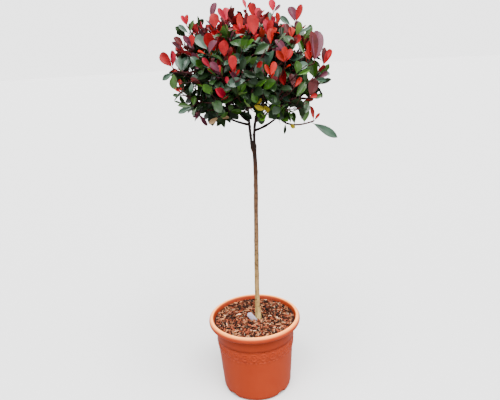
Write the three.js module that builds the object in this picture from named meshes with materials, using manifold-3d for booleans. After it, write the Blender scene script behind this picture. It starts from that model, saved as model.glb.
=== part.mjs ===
// A red-tipped photinia grown as a small standard tree, in its round plastic pot.
// Millimetres, +Z up. The origin is the middle of the pot's flat underside, and the
// front is towards -Y. Bearings run from the front (0) round by the right (90).

import * as THREE from 'three';
import { mergeVertices } from 'three/addons/utils/BufferGeometryUtils.js';
import Module from 'manifold-3d';

const wasm = await Module();
wasm.setup();

// Gap between two solids that meet, the room that a mass keeps from the edge of its space,
// and how far fusing may move a surface.
const GAP = 0.3;
const ROOM = 0.45;
const FUSING_TOLERANCE = 0.02;
const GOLDEN_ANGLE = 137.508;

// The pot: a tapered moulded wall under a rolled lip, on a foot ring with four gaps.
const POT = {
  height: 220,
  lipRadius: 130,
  mouthRadius: 117.5,
  lipHeight: 18,
  neckRadius: 112.5,
  grooveHeight: 166,
  grooveRadius: 109.2,
  grooveDepth: 1.4,
  heelHeight: 12,
  heelRadius: 98.2,
  footRadius: 91.5,
  footInnerRadius: 82,
  baseDiscRadius: 62,
  underDepth: 3.5,
  floor: 16,
  innerHeelHeight: 22,
  wall: 3,
  footGaps: 4,
  footGapBearing: 43,
  footGapWidth: 29,
  footGapHeight: 12,
  sides: 32,
};
// The raised band of the frieze, below the groove.
const FRIEZE = { low: 131, high: 162, proud: 1 };

// The bark compost: its level, the crown of its surface, and the size of its lumps.
const SOIL = { level: 206, mound: 7, lump: 2.4, rings: 6, sides: 24, restRadius: 17 };

// The blank plant label that leans to the left beside the trunk's foot.
const LABEL = { width: 15, height: 41, thick: 0.9, buried: 9, lean: 32, tilt: 12, foot: [0, -8] };

// The trunk: its middle line from the compost to the fork, and its radius on the way up.
const TRUNK = {
  line: [[11, 5.5, 206.3], [10.8, 5.5, 265], [18.6, 4, 500], [23.9, 2, 671], [20.5, 1, 720]],
  flare: 3.2,
  flareHeight: 16,
  footRadius: 6.7,
  topRadius: 5.4,
  knuckleHeight: 706,
  knuckleRadius: 2.6,
  knuckleSpread: 12,
  sides: 10,
  steps: 22,
};

// The crown: a rounded, flattened outline about its middle, with its hem at a level.
const CROWN = {
  middle: [18, 0, 905],
  wide: 214,
  up: 166,
  down: 148,
  squareness: 2.6,
  hem: 756,
};

// The foliage masses in two rings and a top one: height, distance from the crown's axis,
// and the names of the places round it.
const LOW_RING = {
  height: 838,
  distance: 118,
  firstBearing: 30,
  places: ['front_right', 'right', 'back_right', 'back_left', 'left', 'front_left'],
  forkHeights: [772, 748, 780, 772, 764, 786],
};
const HIGH_RING = {
  height: 935,
  distance: 95,
  firstBearing: 0,
  places: ['front', 'right', 'back_right', 'back_left', 'left'],
  forkHeights: [806, null, 814, 824, 800],
};
const TOP_HEIGHT = 985;

// The two leaders that stand side by side on the trunk's fork.
const LEADERS = {
  left: { foot: [17.2, 1, 710], bend: [6, -3, 842], feeds: 'foliage_top' },
  right: { foot: [24.2, 1, 710], bend: [20, 4, 818], feeds: 'foliage_high_right' },
  footRadius: 3.7,
  endRadius: 2.5,
  intoMass: 0.72,
};
const BOUGHS = {
  footRadius: 3.0,
  endRadius: 1.9,
  intoMass: 0.5,
  lowBend: [0.55, 0.16],
  highBend: [0.42, 0.42],
  sides: 6,
  steps: 5,
};
const STEM = { tipRadius: 1.5, sides: 5, steps: 4 };

// The shoots that end on the crown's outline, the leaves at their tips and along them.
const SHOOTS = {
  count: 86,
  lowest: -0.62,
  footRadius: 1.5,
  tipRadius: 0.95,
  steps: 2,
  fromStem: [0.1, 0.95],
  reach: [0.84, 1.01],
  tipLeaves: 3,
  sideLeaves: [1, 2.4],
  sideLeafSpacing: 0.15,
  tuftSpacing: 0.03,
  rollTries: [0, 50, -50, 100, -100, 150],
  lengthTries: [1, 0.78],
};
const LEAF = {
  tipLength: [38, 66],
  sideLength: [50, 70],
  tipWidth: 0.62,
  sideWidth: 0.6,
  thickness: 1.1,
  fold: 0.1,
  shoulder: 0.58,
  rootShare: 0.16,
};

// The low sprig that hangs out under the crown on the right, with four leaves:
// place along it, bearing, slope, length and width of each.
const SPRIG = {
  foot: 0.08,
  sag: [112, -4, 744],
  end: [179, -5, 764],
  leaves: [
    [0.985, 92, -37, 73, 24],
    [0.955, 60, 82, 36, 12],
    [0.9, 100, 68, 20, 8],
    [0.3, 250, -78, 34, 13],
  ],
};

const INK = {
  pot: '#c0562e',
  soil: '#5d3526',
  label: '#cfc4d8',
  bark: '#8d7458',
  young: '#5b3a2c',
  flush: '#b83a38',
  green: '#4f6b3a',
};

// Repeatable chance from 0 to 1 for a numbered thing and a purpose.
function chance(number, purpose) {
  const wave = Math.sin(number * 12.9898 + purpose * 78.233) * 43758.5453;
  return wave - Math.floor(wave);
}
function between([low, high], share) {
  return low + (high - low) * share;
}
function vector([x, y, z]) {
  return new THREE.Vector3(x, y, z);
}
function heading(bearing) {
  const angle = THREE.MathUtils.degToRad(bearing);
  return new THREE.Vector3(Math.sin(angle), -Math.cos(angle), 0);
}

// A closed three.js geometry as a solid that can be joined and cut.
function solidFrom(geometry) {
  const loose = geometry.index ? geometry.toNonIndexed() : geometry;
  const bare = new THREE.BufferGeometry();
  bare.setAttribute('position', loose.getAttribute('position').clone());
  const merged = mergeVertices(bare, 1e-4);
  const index = merged.index.array;
  const corners = [];
  for (let i = 0; i < index.length; i += 3) {
    const [a, b, c] = [index[i], index[i + 1], index[i + 2]];
    if (a !== b && b !== c && c !== a) corners.push(a, b, c);
  }
  const make = () => new wasm.Manifold(new wasm.Mesh({
    numProp: 3,
    vertProperties: merged.getAttribute('position').array,
    triVerts: new Uint32Array(corners),
  }));
  const solid = make();
  if (solid.volume() > 0) return solid;
  corners.reverse();
  return make();
}

// The largest body of a solid: loose scraps go, and a sealed hollow is filled.
function mainBody(solid) {
  const bodies = solid.decompose();
  bodies.sort((one, other) => other.volume() - one.volume());
  return bodies[0];
}

// True if each edge still lies between two faces once the corners are rounded. Where two
// edges almost touch, rounding would weld them into one with four faces.
function staysClosed(solid) {
  const { vertProperties, triVerts } = solid.getMesh();
  return [3, 4].every((decimals) => {
    const numbers = new Map();
    const rounded = [];
    for (let i = 0; i < vertProperties.length; i += 3) {
      const place = Array.from(vertProperties.subarray(i, i + 3), (v) => v.toFixed(decimals));
      const key = place.join(' ');
      if (!numbers.has(key)) numbers.set(key, numbers.size);
      rounded.push(numbers.get(key));
    }
    const faces = new Map();
    for (let i = 0; i < triVerts.length; i += 3) {
      const corners = [rounded[triVerts[i]], rounded[triVerts[i + 1]], rounded[triVerts[i + 2]]];
      if (new Set(corners).size < 3) continue;
      corners.forEach((corner, k) => {
        const next = corners[(k + 1) % 3];
        const edge = `${Math.min(corner, next)} ${Math.max(corner, next)}`;
        faces.set(edge, (faces.get(edge) || 0) + 1);
      });
    }
    return [...faces.values()].every((count) => count === 2);
  });
}

function meshFrom(name, solid, colour, roughness) {
  const { vertProperties, triVerts } = solid.getMesh();
  const geometry = new THREE.BufferGeometry();
  geometry.setAttribute('position', new THREE.BufferAttribute(vertProperties, 3));
  geometry.setIndex(new THREE.BufferAttribute(triVerts, 1));
  geometry.computeVertexNormals();
  const material = new THREE.MeshStandardMaterial({ color: colour, roughness, metalness: 0 });
  const mesh = new THREE.Mesh(geometry, material);
  mesh.name = name;
  return mesh;
}

// A turned solid from a profile of radius and height pairs.
function turned(profile, sides) {
  const points = profile.map(([radius, height]) => new THREE.Vector2(radius, height));
  return solidFrom(new THREE.LatheGeometry(points, sides).rotateX(Math.PI / 2));
}

// One tapering limb: a round bar bent along a curve, with a radius for each share of its
// length. Swell makes it thicker and longer all round, for the room kept about it.
function limb(curve, radiusAt, sides, steps, swell = 0) {
  const bar = new THREE.CylinderGeometry(1, 1, 1, sides, steps);
  const frames = curve.computeFrenetFrames(steps, false);
  const points = curve.getSpacedPoints(steps);
  const position = bar.getAttribute('position');
  const place = new THREE.Vector3();
  for (let i = 0; i < position.count; i += 1) {
    const step = Math.round((position.getY(i) + 0.5) * steps);
    const radius = radiusAt(step / steps) + swell;
    const beyond = step === 0 ? -swell : step === steps ? swell : 0;
    place.copy(points[step])
      .addScaledVector(frames.tangents[step], beyond)
      .addScaledVector(frames.binormals[step], position.getX(i) * radius)
      .addScaledVector(frames.normals[step], position.getZ(i) * radius);
    position.setXYZ(i, place.x, place.y, place.z);
  }
  return solidFrom(bar);
}
// A point on the middle line of such a bar, which is straight from step to step.
function onLimb(curve, steps, share) {
  const points = curve.getSpacedPoints(steps);
  const step = Math.min(Math.floor(share * steps), steps - 1);
  return points[step].clone().lerp(points[step + 1], share * steps - step);
}
function stretchOf(curve, from, to, count) {
  const points = [];
  for (let i = 0; i <= count; i += 1) points.push(curve.getPoint(from + (to - from) * i / count));
  return new THREE.CatmullRomCurve3(points);
}

const plant = new THREE.Group();
plant.name = 'potted_photinia';

// Radius of the pot's plain outer wall at a height.
function wallAt(height) {
  return THREE.MathUtils.mapLinear(
    height, POT.heelHeight, POT.grooveHeight, POT.heelRadius, POT.grooveRadius);
}

function makePot() {
  const lipFoot = POT.height - POT.lipHeight;
  const profile = [
    [0, 0],
    [POT.baseDiscRadius, 0],
    [POT.baseDiscRadius + 1, POT.underDepth],
    [POT.footInnerRadius - 1, POT.underDepth],
    [POT.footInnerRadius, 0],
    [POT.footRadius - 1.5, 0],
    [POT.footRadius + 1, 1],
    [POT.footRadius + 4.5, 4.5],
    [POT.heelRadius, POT.heelHeight],
    [wallAt(FRIEZE.low), FRIEZE.low],
    [wallAt(FRIEZE.low) + FRIEZE.proud, FRIEZE.low + 2],
    [wallAt(FRIEZE.high) + FRIEZE.proud, FRIEZE.high],
    [wallAt(POT.grooveHeight) - POT.grooveDepth, POT.grooveHeight],
    [wallAt(POT.grooveHeight) + 0.6, POT.grooveHeight + 2],
    [POT.neckRadius, lipFoot - 6],
    [POT.lipRadius - 4, lipFoot],
    [POT.lipRadius, lipFoot + 5],
    [POT.lipRadius, POT.height - 5],
    [POT.lipRadius - 5, POT.height],
    [POT.mouthRadius + 2, POT.height],
    [POT.mouthRadius, POT.height - 4],
    [POT.neckRadius - POT.wall + 1, lipFoot - 8],
    [wallAt(POT.innerHeelHeight) - POT.wall, POT.innerHeelHeight],
    [POT.footRadius, POT.floor],
    [0, POT.floor],
  ];
  const pot = turned(profile, POT.sides);
  const cuts = [];
  for (let i = 0; i < POT.footGaps; i += 1) {
    const reach = 30;
    const cut = new THREE.BoxGeometry(POT.footGapWidth, reach, 2 * POT.footGapHeight);
    cut.translate(0, -(POT.footInnerRadius - 2 + reach / 2), 0);
    cut.rotateZ(THREE.MathUtils.degToRad(POT.footGapBearing + 360 * i / POT.footGaps));
    cuts.push(solidFrom(cut));
  }
  return mainBody(pot.subtract(wasm.Manifold.union(cuts)));
}

// The compost fills the pot: flat under the trunk's foot, lumpy and slightly mounded elsewhere.
function makeSoil() {
  const top = SOIL.level;
  const lipFoot = POT.height - POT.lipHeight;
  const inside = (radius) => radius * Math.cos(Math.PI / POT.sides) - POT.wall - GAP;
  const edgeRadius = inside(POT.neckRadius) + 1;
  const profile = [
    [0, POT.floor + GAP],
    [POT.footRadius - 2, POT.floor + GAP],
    [inside(wallAt(POT.innerHeelHeight)), POT.innerHeelHeight],
    [inside(POT.neckRadius) + 0.6, lipFoot - 8],
    [edgeRadius + 2, top - 3],
  ];
  for (let ring = SOIL.rings; ring >= 0; ring -= 1) {
    profile.push([edgeRadius * ring / SOIL.rings, top]);
  }
  const soil = new THREE.LatheGeometry(
    profile.map(([radius, height]) => new THREE.Vector2(radius, height)), SOIL.sides,
  ).rotateX(Math.PI / 2);
  const position = soil.getAttribute('position');
  const foot = TRUNK.line[0];
  for (let i = 0; i < position.count; i += 1) {
    const [x, y] = [position.getX(i), position.getY(i)];
    const fromTrunk = Math.hypot(x - foot[0], y - foot[1]);
    const radius = Math.hypot(x, y);
    if (position.getZ(i) < top - 0.01 || fromTrunk < SOIL.restRadius) continue;
    const key = Math.round(x) * 7 + Math.round(y) * 13;
    const inner = 1 - (radius / edgeRadius) ** 2;
    const away = THREE.MathUtils.smoothstep(fromTrunk, SOIL.restRadius, 3 * SOIL.restRadius);
    const side = (x + y) / (2 * edgeRadius);
    const mound = away * inner * SOIL.mound * (0.45 + side);
    position.setZ(i, top + mound + SOIL.lump * (chance(key, 40) - 0.5));
  }
  return mainBody(solidFrom(soil));
}

function makeLabel() {
  const tag = new THREE.Shape();
  const half = LABEL.width / 2;
  tag.moveTo(-half, 0);
  tag.lineTo(half, 0);
  tag.lineTo(half, LABEL.height - half);
  tag.absarc(0, LABEL.height - half, half, 0, Math.PI, false);
  tag.closePath();
  const body = new THREE.ExtrudeGeometry(tag, {
    depth: LABEL.thick, bevelEnabled: false, curveSegments: 5,
  });
  body.translate(0, 0, -LABEL.thick / 2);
  body.rotateX(Math.PI / 2);
  body.translate(0, 0, -LABEL.buried);
  body.rotateX(THREE.MathUtils.degToRad(LABEL.tilt));
  body.rotateY(THREE.MathUtils.degToRad(-LABEL.lean));
  body.translate(LABEL.foot[0], LABEL.foot[1], SOIL.level);
  return solidFrom(body);
}

// Radius of the trunk at a height: an even taper, a flare at the foot, a knuckle at the fork.
function trunkRadius(height) {
  const foot = TRUNK.line[0][2];
  const top = TRUNK.line[TRUNK.line.length - 1][2];
  const share = (height - foot) / (top - foot);
  const taper = between([TRUNK.footRadius, TRUNK.topRadius], share);
  const flare = TRUNK.flare * Math.exp(-(height - foot) / TRUNK.flareHeight);
  const offKnuckle = (height - TRUNK.knuckleHeight) / TRUNK.knuckleSpread;
  return taper + flare + TRUNK.knuckleRadius * Math.exp(-(offKnuckle ** 2));
}

// The spaces of the foliage masses: a point belongs to the mass whose middle is nearest.
const masses = [];
function addMass(name, bearing, distance, height, forkHeight) {
  const middle = vector(CROWN.middle).setZ(height).addScaledVector(heading(bearing), distance);
  masses.push({ name, middle, forkHeight, shoots: [] });
}
for (const [level, ring] of [['low', LOW_RING], ['high', HIGH_RING]]) {
  ring.places.forEach((place, i) => {
    const bearing = ring.firstBearing + 360 * i / ring.places.length;
    addMass(`foliage_${level}_${place}`, bearing, ring.distance, ring.height, ring.forkHeights[i]);
  });
}
addMass('foliage_top', 0, 0, TOP_HEIGHT, null);

function inSpace(mass, point) {
  return masses.every((other) => {
    if (other === mass) return true;
    const apart = other.middle.distanceTo(mass.middle);
    const toOther = point.distanceToSquared(other.middle);
    const toOwn = point.distanceToSquared(mass.middle);
    return (toOther - toOwn) / (2 * apart) > ROOM;
  });
}

// Each mass hangs on one path: a bough up to the point where it enters the mass, and from
// there, after a small gap, the stem inside the mass.
const limbs = [];
const blocked = [];
function addLimb(name, curve, radiusAt, sides, steps) {
  let solid = limb(curve, radiusAt, sides, steps);
  if (blocked.length) solid = mainBody(solid.subtract(wasm.Manifold.union(blocked)));
  blocked.push(limb(curve, radiusAt, sides, steps, GAP));
  limbs.push({ name, curve, solid });
}
function addBoughTo(mass, name, path, footRadius, endRadius, intoMass) {
  const radiusAt = (share) => between([footRadius, endRadius], share);
  addLimb(name, stretchOf(path, 0, intoMass, 5), radiusAt, BOUGHS.sides, BOUGHS.steps);
  const nearby = 0.01;
  const speed = path.getPoint(intoMass + nearby).distanceTo(path.getPoint(intoMass)) / nearby;
  const gapShare = GAP / speed;
  mass.stem = stretchOf(path, intoMass + gapShare, 1, 5);
  mass.stemRadius = (share) => between([endRadius, STEM.tipRadius], share);
}

function makeLimbs() {
  const line = new THREE.CatmullRomCurve3(TRUNK.line.map(vector));
  const heightAt = (share) => line.getPointAt(share).z;
  addLimb('trunk', line, (share) => trunkRadius(heightAt(share)), TRUNK.sides, TRUNK.steps);
  const massNamed = (name) => masses.find((mass) => mass.name === name);
  const leaderPaths = {};
  for (const side of ['left', 'right']) {
    const { foot, bend, feeds } = LEADERS[side];
    const mass = massNamed(feeds);
    const path = new THREE.QuadraticBezierCurve3(vector(foot), vector(bend), mass.middle);
    leaderPaths[side] = path;
    const { footRadius, endRadius, intoMass } = LEADERS;
    addBoughTo(mass, `leader_${side}`, path, footRadius, endRadius, intoMass);
  }
  for (const mass of masses) {
    if (mass.forkHeight === null) continue;
    const onLeft = mass.middle.x < CROWN.middle[0] + 1;
    const leader = onLeft ? leaderPaths.left : leaderPaths.right;
    let share = 0;
    while (leader.getPoint(share).z < mass.forkHeight) share += 0.002;
    const foot = leader.getPoint(share);
    const [out, rise] = mass.name.includes('low') ? BOUGHS.lowBend : BOUGHS.highBend;
    const bend = foot.clone().lerp(mass.middle, out);
    bend.z = foot.z + (mass.middle.z - foot.z) * rise;
    const path = new THREE.QuadraticBezierCurve3(foot, bend, mass.middle);
    const name = mass.name.replace('foliage', 'bough');
    addBoughTo(mass, name, path, BOUGHS.footRadius, BOUGHS.endRadius, BOUGHS.intoMass);
  }
}

// Distance from the crown's middle to its outline in a direction.
function crownReach(direction) {
  const across = Math.hypot(direction.x, direction.y) / CROWN.wide;
  const along = Math.abs(direction.z) / (direction.z > 0 ? CROWN.up : CROWN.down);
  const power = CROWN.squareness;
  return (across ** power + along ** power) ** (-1 / power);
}

// Shoot number i: it turns by the golden angle and sinks from the top of the crown to its
// lowest leaves, so the tips are spread evenly over the whole outline.
function planShoot(i) {
  const rise = 1 - (i + 0.5) / SHOOTS.count * (1 - SHOOTS.lowest);
  const out = heading(i * GOLDEN_ANGLE).multiplyScalar(Math.sqrt(1 - rise * rise)).setZ(rise);
  const leafLength = between(LEAF.tipLength, chance(i, 2));
  const reach = crownReach(out) * between(SHOOTS.reach, chance(i, 1));
  const facing = out.clone().multiplyScalar(0.75);
  facing.z += 0.5 + 0.3 * chance(i, 12);
  facing.normalize();
  const tip = vector(CROWN.middle)
    .addScaledVector(out, reach - leafLength * 0.4)
    .addScaledVector(facing, -leafLength * 0.5);
  return { number: i, facing, tip, leafLength };
}
function shootCurve(mass, shoot) {
  const foot = onLimb(mass.stem, STEM.steps, between(SHOOTS.fromStem, chance(shoot.number, 3)));
  const bend = shoot.tip.clone()
    .addScaledVector(shoot.facing, -0.45 * foot.distanceTo(shoot.tip))
    .lerp(foot.clone().lerp(shoot.tip, 0.5), 0.25);
  return new THREE.QuadraticBezierCurve3(foot, bend, shoot.tip);
}

// One leaf: a thin four-pointed blade, widest beyond its middle, with a fold along it.
function leafBlade(root, axis, normal, length, width) {
  const blade = new THREE.SphereGeometry(1, 4, 2);
  const side = new THREE.Vector3().crossVectors(normal, axis).normalize();
  const position = blade.getAttribute('position');
  const place = new THREE.Vector3();
  for (let i = 0; i < position.count; i += 1) {
    const [x, y, z] = [position.getX(i), position.getY(i), position.getZ(i)];
    const onRib = Math.abs(y) > 0.5;
    const atSide = Math.abs(z) > 0.5;
    const share = onRib || atSide ? LEAF.shoulder : (x + 1) / 2;
    place.copy(root)
      .addScaledVector(axis, share * length)
      .addScaledVector(side, atSide ? z * width / 2 : 0)
      .addScaledVector(normal, onRib ? y * LEAF.thickness / 2 - LEAF.fold * width : 0);
    position.setXYZ(i, place.x, place.y, place.z);
  }
  return blade;
}
// A leaf with its root sunk in the shoot, and the same leaf without the part near its root.
function leafAt(point, axis, normal, length, width) {
  const root = point.clone().addScaledVector(axis, -0.15 * SHOOTS.tipRadius);
  const start = point.clone().addScaledVector(axis, LEAF.rootShare * length);
  const rest = 1 - LEAF.rootShare;
  return {
    whole: leafBlade(root, axis, normal, length, width),
    beyondRoot: leafBlade(start, axis, normal, rest * length, rest * width),
  };
}
function cornersOf(geometry) {
  const position = geometry.getAttribute('position');
  const corners = [];
  for (let i = 0; i < position.count; i += 1) {
    corners.push(new THREE.Vector3().fromBufferAttribute(position, i));
  }
  return corners;
}

// A leaf's axis and upper face, turned about a shoot and opened from it by an angle.
function leafPose(along, roll, open) {
  const reference = new THREE.Vector3(0, 0, 1);
  if (Math.abs(along.z) > 0.9) reference.set(1, 0, 0);
  const first = new THREE.Vector3().crossVectors(along, reference).normalize();
  const second = new THREE.Vector3().crossVectors(along, first);
  const side = first.multiplyScalar(Math.cos(roll)).addScaledVector(second, Math.sin(roll));
  const axis = along.clone().multiplyScalar(Math.cos(open)).addScaledVector(side, Math.sin(open));
  const normal = along.clone().addScaledVector(axis, -along.dot(axis)).normalize();
  return { axis, normal };
}

// The leaves of one shoot: an upright tuft at its tip, and older leaves spread below it.
// Each is a function that makes the blade at a further turn about the shoot and a length.
function shootLeaves(shoot, curve) {
  const leaves = [];
  const sideLeaves = Math.round(between(SHOOTS.sideLeaves, chance(shoot.number, 21)));
  for (let j = 0; j < SHOOTS.tipLeaves + sideLeaves; j += 1) {
    const key = shoot.number * 31 + j;
    const roll = THREE.MathUtils.degToRad(137.5 * j + 360 * chance(shoot.number, 9));
    const inTuft = j < SHOOTS.tipLeaves;
    const back = SHOOTS.sideLeafSpacing * (j - SHOOTS.tipLeaves + 0.6 + 0.6 * chance(key, 8));
    const share = inTuft ? 1 - SHOOTS.tuftSpacing * (j + 0.8) : 1 - back;
    const root = onLimb(curve, SHOOTS.steps, share);
    const along = inTuft ? shoot.facing : curve.getTangent(share);
    const openDegrees = inTuft ? 10 + 26 * chance(key, 6) + 5 * j : 42 + 34 * chance(key, 6);
    const fullLength = inTuft
      ? shoot.leafLength * (0.82 + 0.24 * chance(key, 7))
      : between(LEAF.sideLength, chance(key, 7));
    leaves.push((turn, scale) => {
      const { axis, normal } = leafPose(along, roll + turn, THREE.MathUtils.degToRad(openDegrees));
      if (!inTuft) {
        axis.z -= 0.18;
        axis.normalize();
        normal.z += 0.7;
        normal.addScaledVector(axis, -normal.dot(axis)).normalize();
      }
      const length = fullLength * scale;
      const width = length * (inTuft ? LEAF.tipWidth : LEAF.sideWidth);
      return leafAt(root, axis, normal, length, width);
    });
  }
  return leaves;
}

// The shoots of a mass, and on the low right one the sprig that hangs out under the crown.
function shootsOf(mass) {
  const shoots = mass.shoots.map((shoot) => {
    const curve = shootCurve(mass, shoot);
    return { curve, leaves: shootLeaves(shoot, curve), lowest: CROWN.hem };
  });
  if (mass.name === 'foliage_low_right') shoots.push(sprig(mass));
  return shoots;
}
function sprig(mass) {
  const foot = onLimb(mass.stem, STEM.steps, SPRIG.foot);
  const curve = new THREE.QuadraticBezierCurve3(foot, vector(SPRIG.sag), vector(SPRIG.end));
  const leaves = SPRIG.leaves.map(([share, bearing, slope, length, width]) => {
    const tilt = THREE.MathUtils.degToRad(slope);
    const axis = heading(bearing).multiplyScalar(Math.cos(tilt)).setZ(Math.sin(tilt));
    const normal = new THREE.Vector3(0, -0.6, 0.8);
    normal.addScaledVector(axis, -normal.dot(axis)).normalize();
    const root = onLimb(curve, SHOOTS.steps, share);
    return () => leafAt(root, axis, normal, length, width);
  });
  return { curve, leaves, lowest: TRUNK.line[4][2] - 5 };
}

// One mass of foliage: its stem, the shoots that branch from it and their leaves, fused
// one after another. What would leave the mass's own space or touch a limb is skipped, and
// so is a leaf with no turn or length that keeps it clear of the mass's other leaves.
function makeMass(mass, limbRoom) {
  let body = limb(mass.stem, mass.stemRadius, STEM.sides, STEM.steps);
  const shootRadius = (share) => between([SHOOTS.footRadius, SHOOTS.tipRadius], share);
  const inside = (points, lowest) => points.every(
    (point) => point.z > lowest && inSpace(mass, point));
  const clearOf = (solid, other) => solid.intersect(other).isEmpty();
  const fuse = (solid) => {
    if (!clearOf(solid, limbRoom)) return false;
    const grown = body.add(solid).simplify(FUSING_TOLERANCE);
    if (grown.decompose().length > 1 || !staysClosed(grown)) return false;
    body = grown;
    return true;
  };
  const standing = [];
  for (const { curve, leaves, lowest } of shootsOf(mass)) {
    const twig = limb(curve, shootRadius, 3, SHOOTS.steps);
    if (inside(curve.getPoints(6), lowest) && fuse(twig)) standing.push({ twig, leaves, lowest });
  }
  const blades = [];
  const addLeaf = (makeBlade, own, lowest) => {
    for (const scale of SHOOTS.lengthTries) {
      for (const turn of SHOOTS.rollTries) {
        const { whole, beyondRoot } = makeBlade(THREE.MathUtils.degToRad(turn), scale);
        if (!inside(cornersOf(whole), lowest)) continue;
        const open = solidFrom(beyondRoot);
        const clear = blades.every((other) => clearOf(open, other))
          && standing.every(({ twig }) => twig === own || clearOf(open, twig));
        if (!clear || !fuse(solidFrom(whole))) continue;
        blades.push(open);
        return;
      }
    }
  };
  for (const { twig, leaves, lowest } of standing) {
    for (const makeBlade of leaves) addLeaf(makeBlade, twig, lowest);
  }
  return body;
}

plant.add(meshFrom('pot', makePot(), INK.pot, 0.5));
const soil = makeSoil();
const soilRoom = wasm.Manifold.union([soil, soil.translate([0, 0, GAP])]);
plant.add(meshFrom('soil', soil, INK.soil, 0.95));
plant.add(meshFrom('label', mainBody(makeLabel().subtract(soilRoom)), INK.label, 0.4));

makeLimbs();
for (const { name, solid } of limbs) {
  plant.add(meshFrom(name, solid, name === 'trunk' ? INK.bark : INK.young, 0.8));
}

for (let i = 0; i < SHOOTS.count; i += 1) {
  const shoot = planShoot(i);
  const nearest = (mass) => mass.middle.distanceTo(shoot.tip);
  masses.reduce((best, mass) => (nearest(mass) < nearest(best) ? mass : best)).shoots.push(shoot);
}
const limbRoom = wasm.Manifold.union(blocked);
for (const mass of masses) {
  const colour = mass.name.includes('low') ? INK.green : INK.flush;
  plant.add(meshFrom(mass.name, makeMass(mass, limbRoom), colour, 0.5));
}

export default plant;
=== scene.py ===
"""A potted standard photinia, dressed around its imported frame.

Lengths are millimetres until a mesh is made, which turns them to metres. +Z is up and the
front is towards -Y. Bearings run from the front (0) round by the right (90).
"""
import math
from functools import partial

import bpy
import numpy as np
from mathutils import Matrix, Vector, noise


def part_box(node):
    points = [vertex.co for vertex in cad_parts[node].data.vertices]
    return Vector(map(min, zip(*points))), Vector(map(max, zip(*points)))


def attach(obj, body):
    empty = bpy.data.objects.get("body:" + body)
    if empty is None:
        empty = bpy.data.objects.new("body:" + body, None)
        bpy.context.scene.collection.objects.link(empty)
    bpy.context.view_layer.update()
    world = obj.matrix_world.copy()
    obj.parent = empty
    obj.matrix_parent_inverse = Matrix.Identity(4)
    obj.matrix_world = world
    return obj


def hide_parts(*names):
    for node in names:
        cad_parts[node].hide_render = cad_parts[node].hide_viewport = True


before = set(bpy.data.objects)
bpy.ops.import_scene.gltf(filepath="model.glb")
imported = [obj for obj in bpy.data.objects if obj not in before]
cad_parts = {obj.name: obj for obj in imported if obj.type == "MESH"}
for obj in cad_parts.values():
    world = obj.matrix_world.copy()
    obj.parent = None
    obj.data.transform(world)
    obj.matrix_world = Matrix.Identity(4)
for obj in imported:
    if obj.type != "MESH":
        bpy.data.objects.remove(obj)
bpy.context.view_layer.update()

# The pot: a round nursery container, injection-moulded in terracotta-coloured polypropylene.
# One tapered wall carries a rolled lip, a pressed groove and a low frieze, and stands on a
# foot ring with four gaps that let water out.
MM = 0.001
POT_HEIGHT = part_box("pot")[1].z / MM
LIP_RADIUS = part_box("pot")[1].x / MM
LIP_FOOT = POT_HEIGHT - 18
MOUTH_RADIUS = 117.5
NECK_RADIUS = 112.5
GROOVE_HEIGHT = 166
GROOVE_RADIUS = 109.2
GROOVE_DEPTH = 2.2
HEEL_HEIGHT = 12
HEEL_RADIUS = 98.2
FOOT_RADIUS = 91.5
FOOT_INNER_RADIUS = 82
BASE_DISC_RADIUS = 62
UNDER_DEPTH = 3.5
FLOOR_THICKNESS = 16
INNER_HEEL_HEIGHT = 22
WALL_THICKNESS = 3
FRIEZE_LOW = 131
FRIEZE_HIGH = 162
FRIEZE_PROUD = 1
FRIEZE_ROW = 1.1
MOTIFS = 27
COLUMNS_PER_MOTIF = 14
MOTIF_RELIEF = 1.9
MOTIF_SIZE = (9.5, 11.5)
MOTIF_RING = (0.85, 0.16)
MOTIF_BOSS = 0.42
MOTIF_PETALS = 5
PETAL_DEPTH = 0.25
RING_SHARE = 0.8
BEAD_SIZE = (1.6, 4)
DASH_HEIGHT = 128.6
DASH_LENGTH = 8
DASH_SHARE = 0.6
FOOT_GAPS = 4
FOOT_GAP_BEARING = 43
FOOT_GAP_WIDTH = 30
FOOT_GAP_HEIGHT = 12


def wall_at(height):
    """Radius of the plain wall at a height."""
    return np.interp(height, (HEEL_HEIGHT, GROOVE_HEIGHT), (HEEL_RADIUS, GROOVE_RADIUS))


def rounded(corners, steps=4):
    """A profile from corners of radius, height and rounding: each corner becomes an arc."""
    profile = []
    for i, (radius, height, ease) in enumerate(corners):
        here = np.array((radius, height), float)
        if ease == 0:
            profile.append(here)
            continue
        before = np.array(corners[i - 1][:2]) - here
        after = np.array(corners[i + 1][:2]) - here
        start = here + before / np.linalg.norm(before) * min(ease, 0.45 * np.linalg.norm(before))
        end = here + after / np.linalg.norm(after) * min(ease, 0.45 * np.linalg.norm(after))
        for share in np.linspace(0, 1, steps + 1):
            profile.append((1 - share) ** 2 * start + 2 * share * (1 - share) * here + share ** 2 * end)
    return profile


def with_rows_between(profile, low, high, spacing):
    """The same profile, with points added between two heights on its outer side."""
    dense = [profile[0]]
    for before, after in zip(profile, profile[1:]):
        rising = after[1] - before[1]
        if rising > spacing and before[1] < high and after[1] > low:
            count = int(rising / spacing) + 1
            dense += [before + (after - before) * k / count for k in range(1, count)]
        dense.append(after)
    return dense


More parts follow.
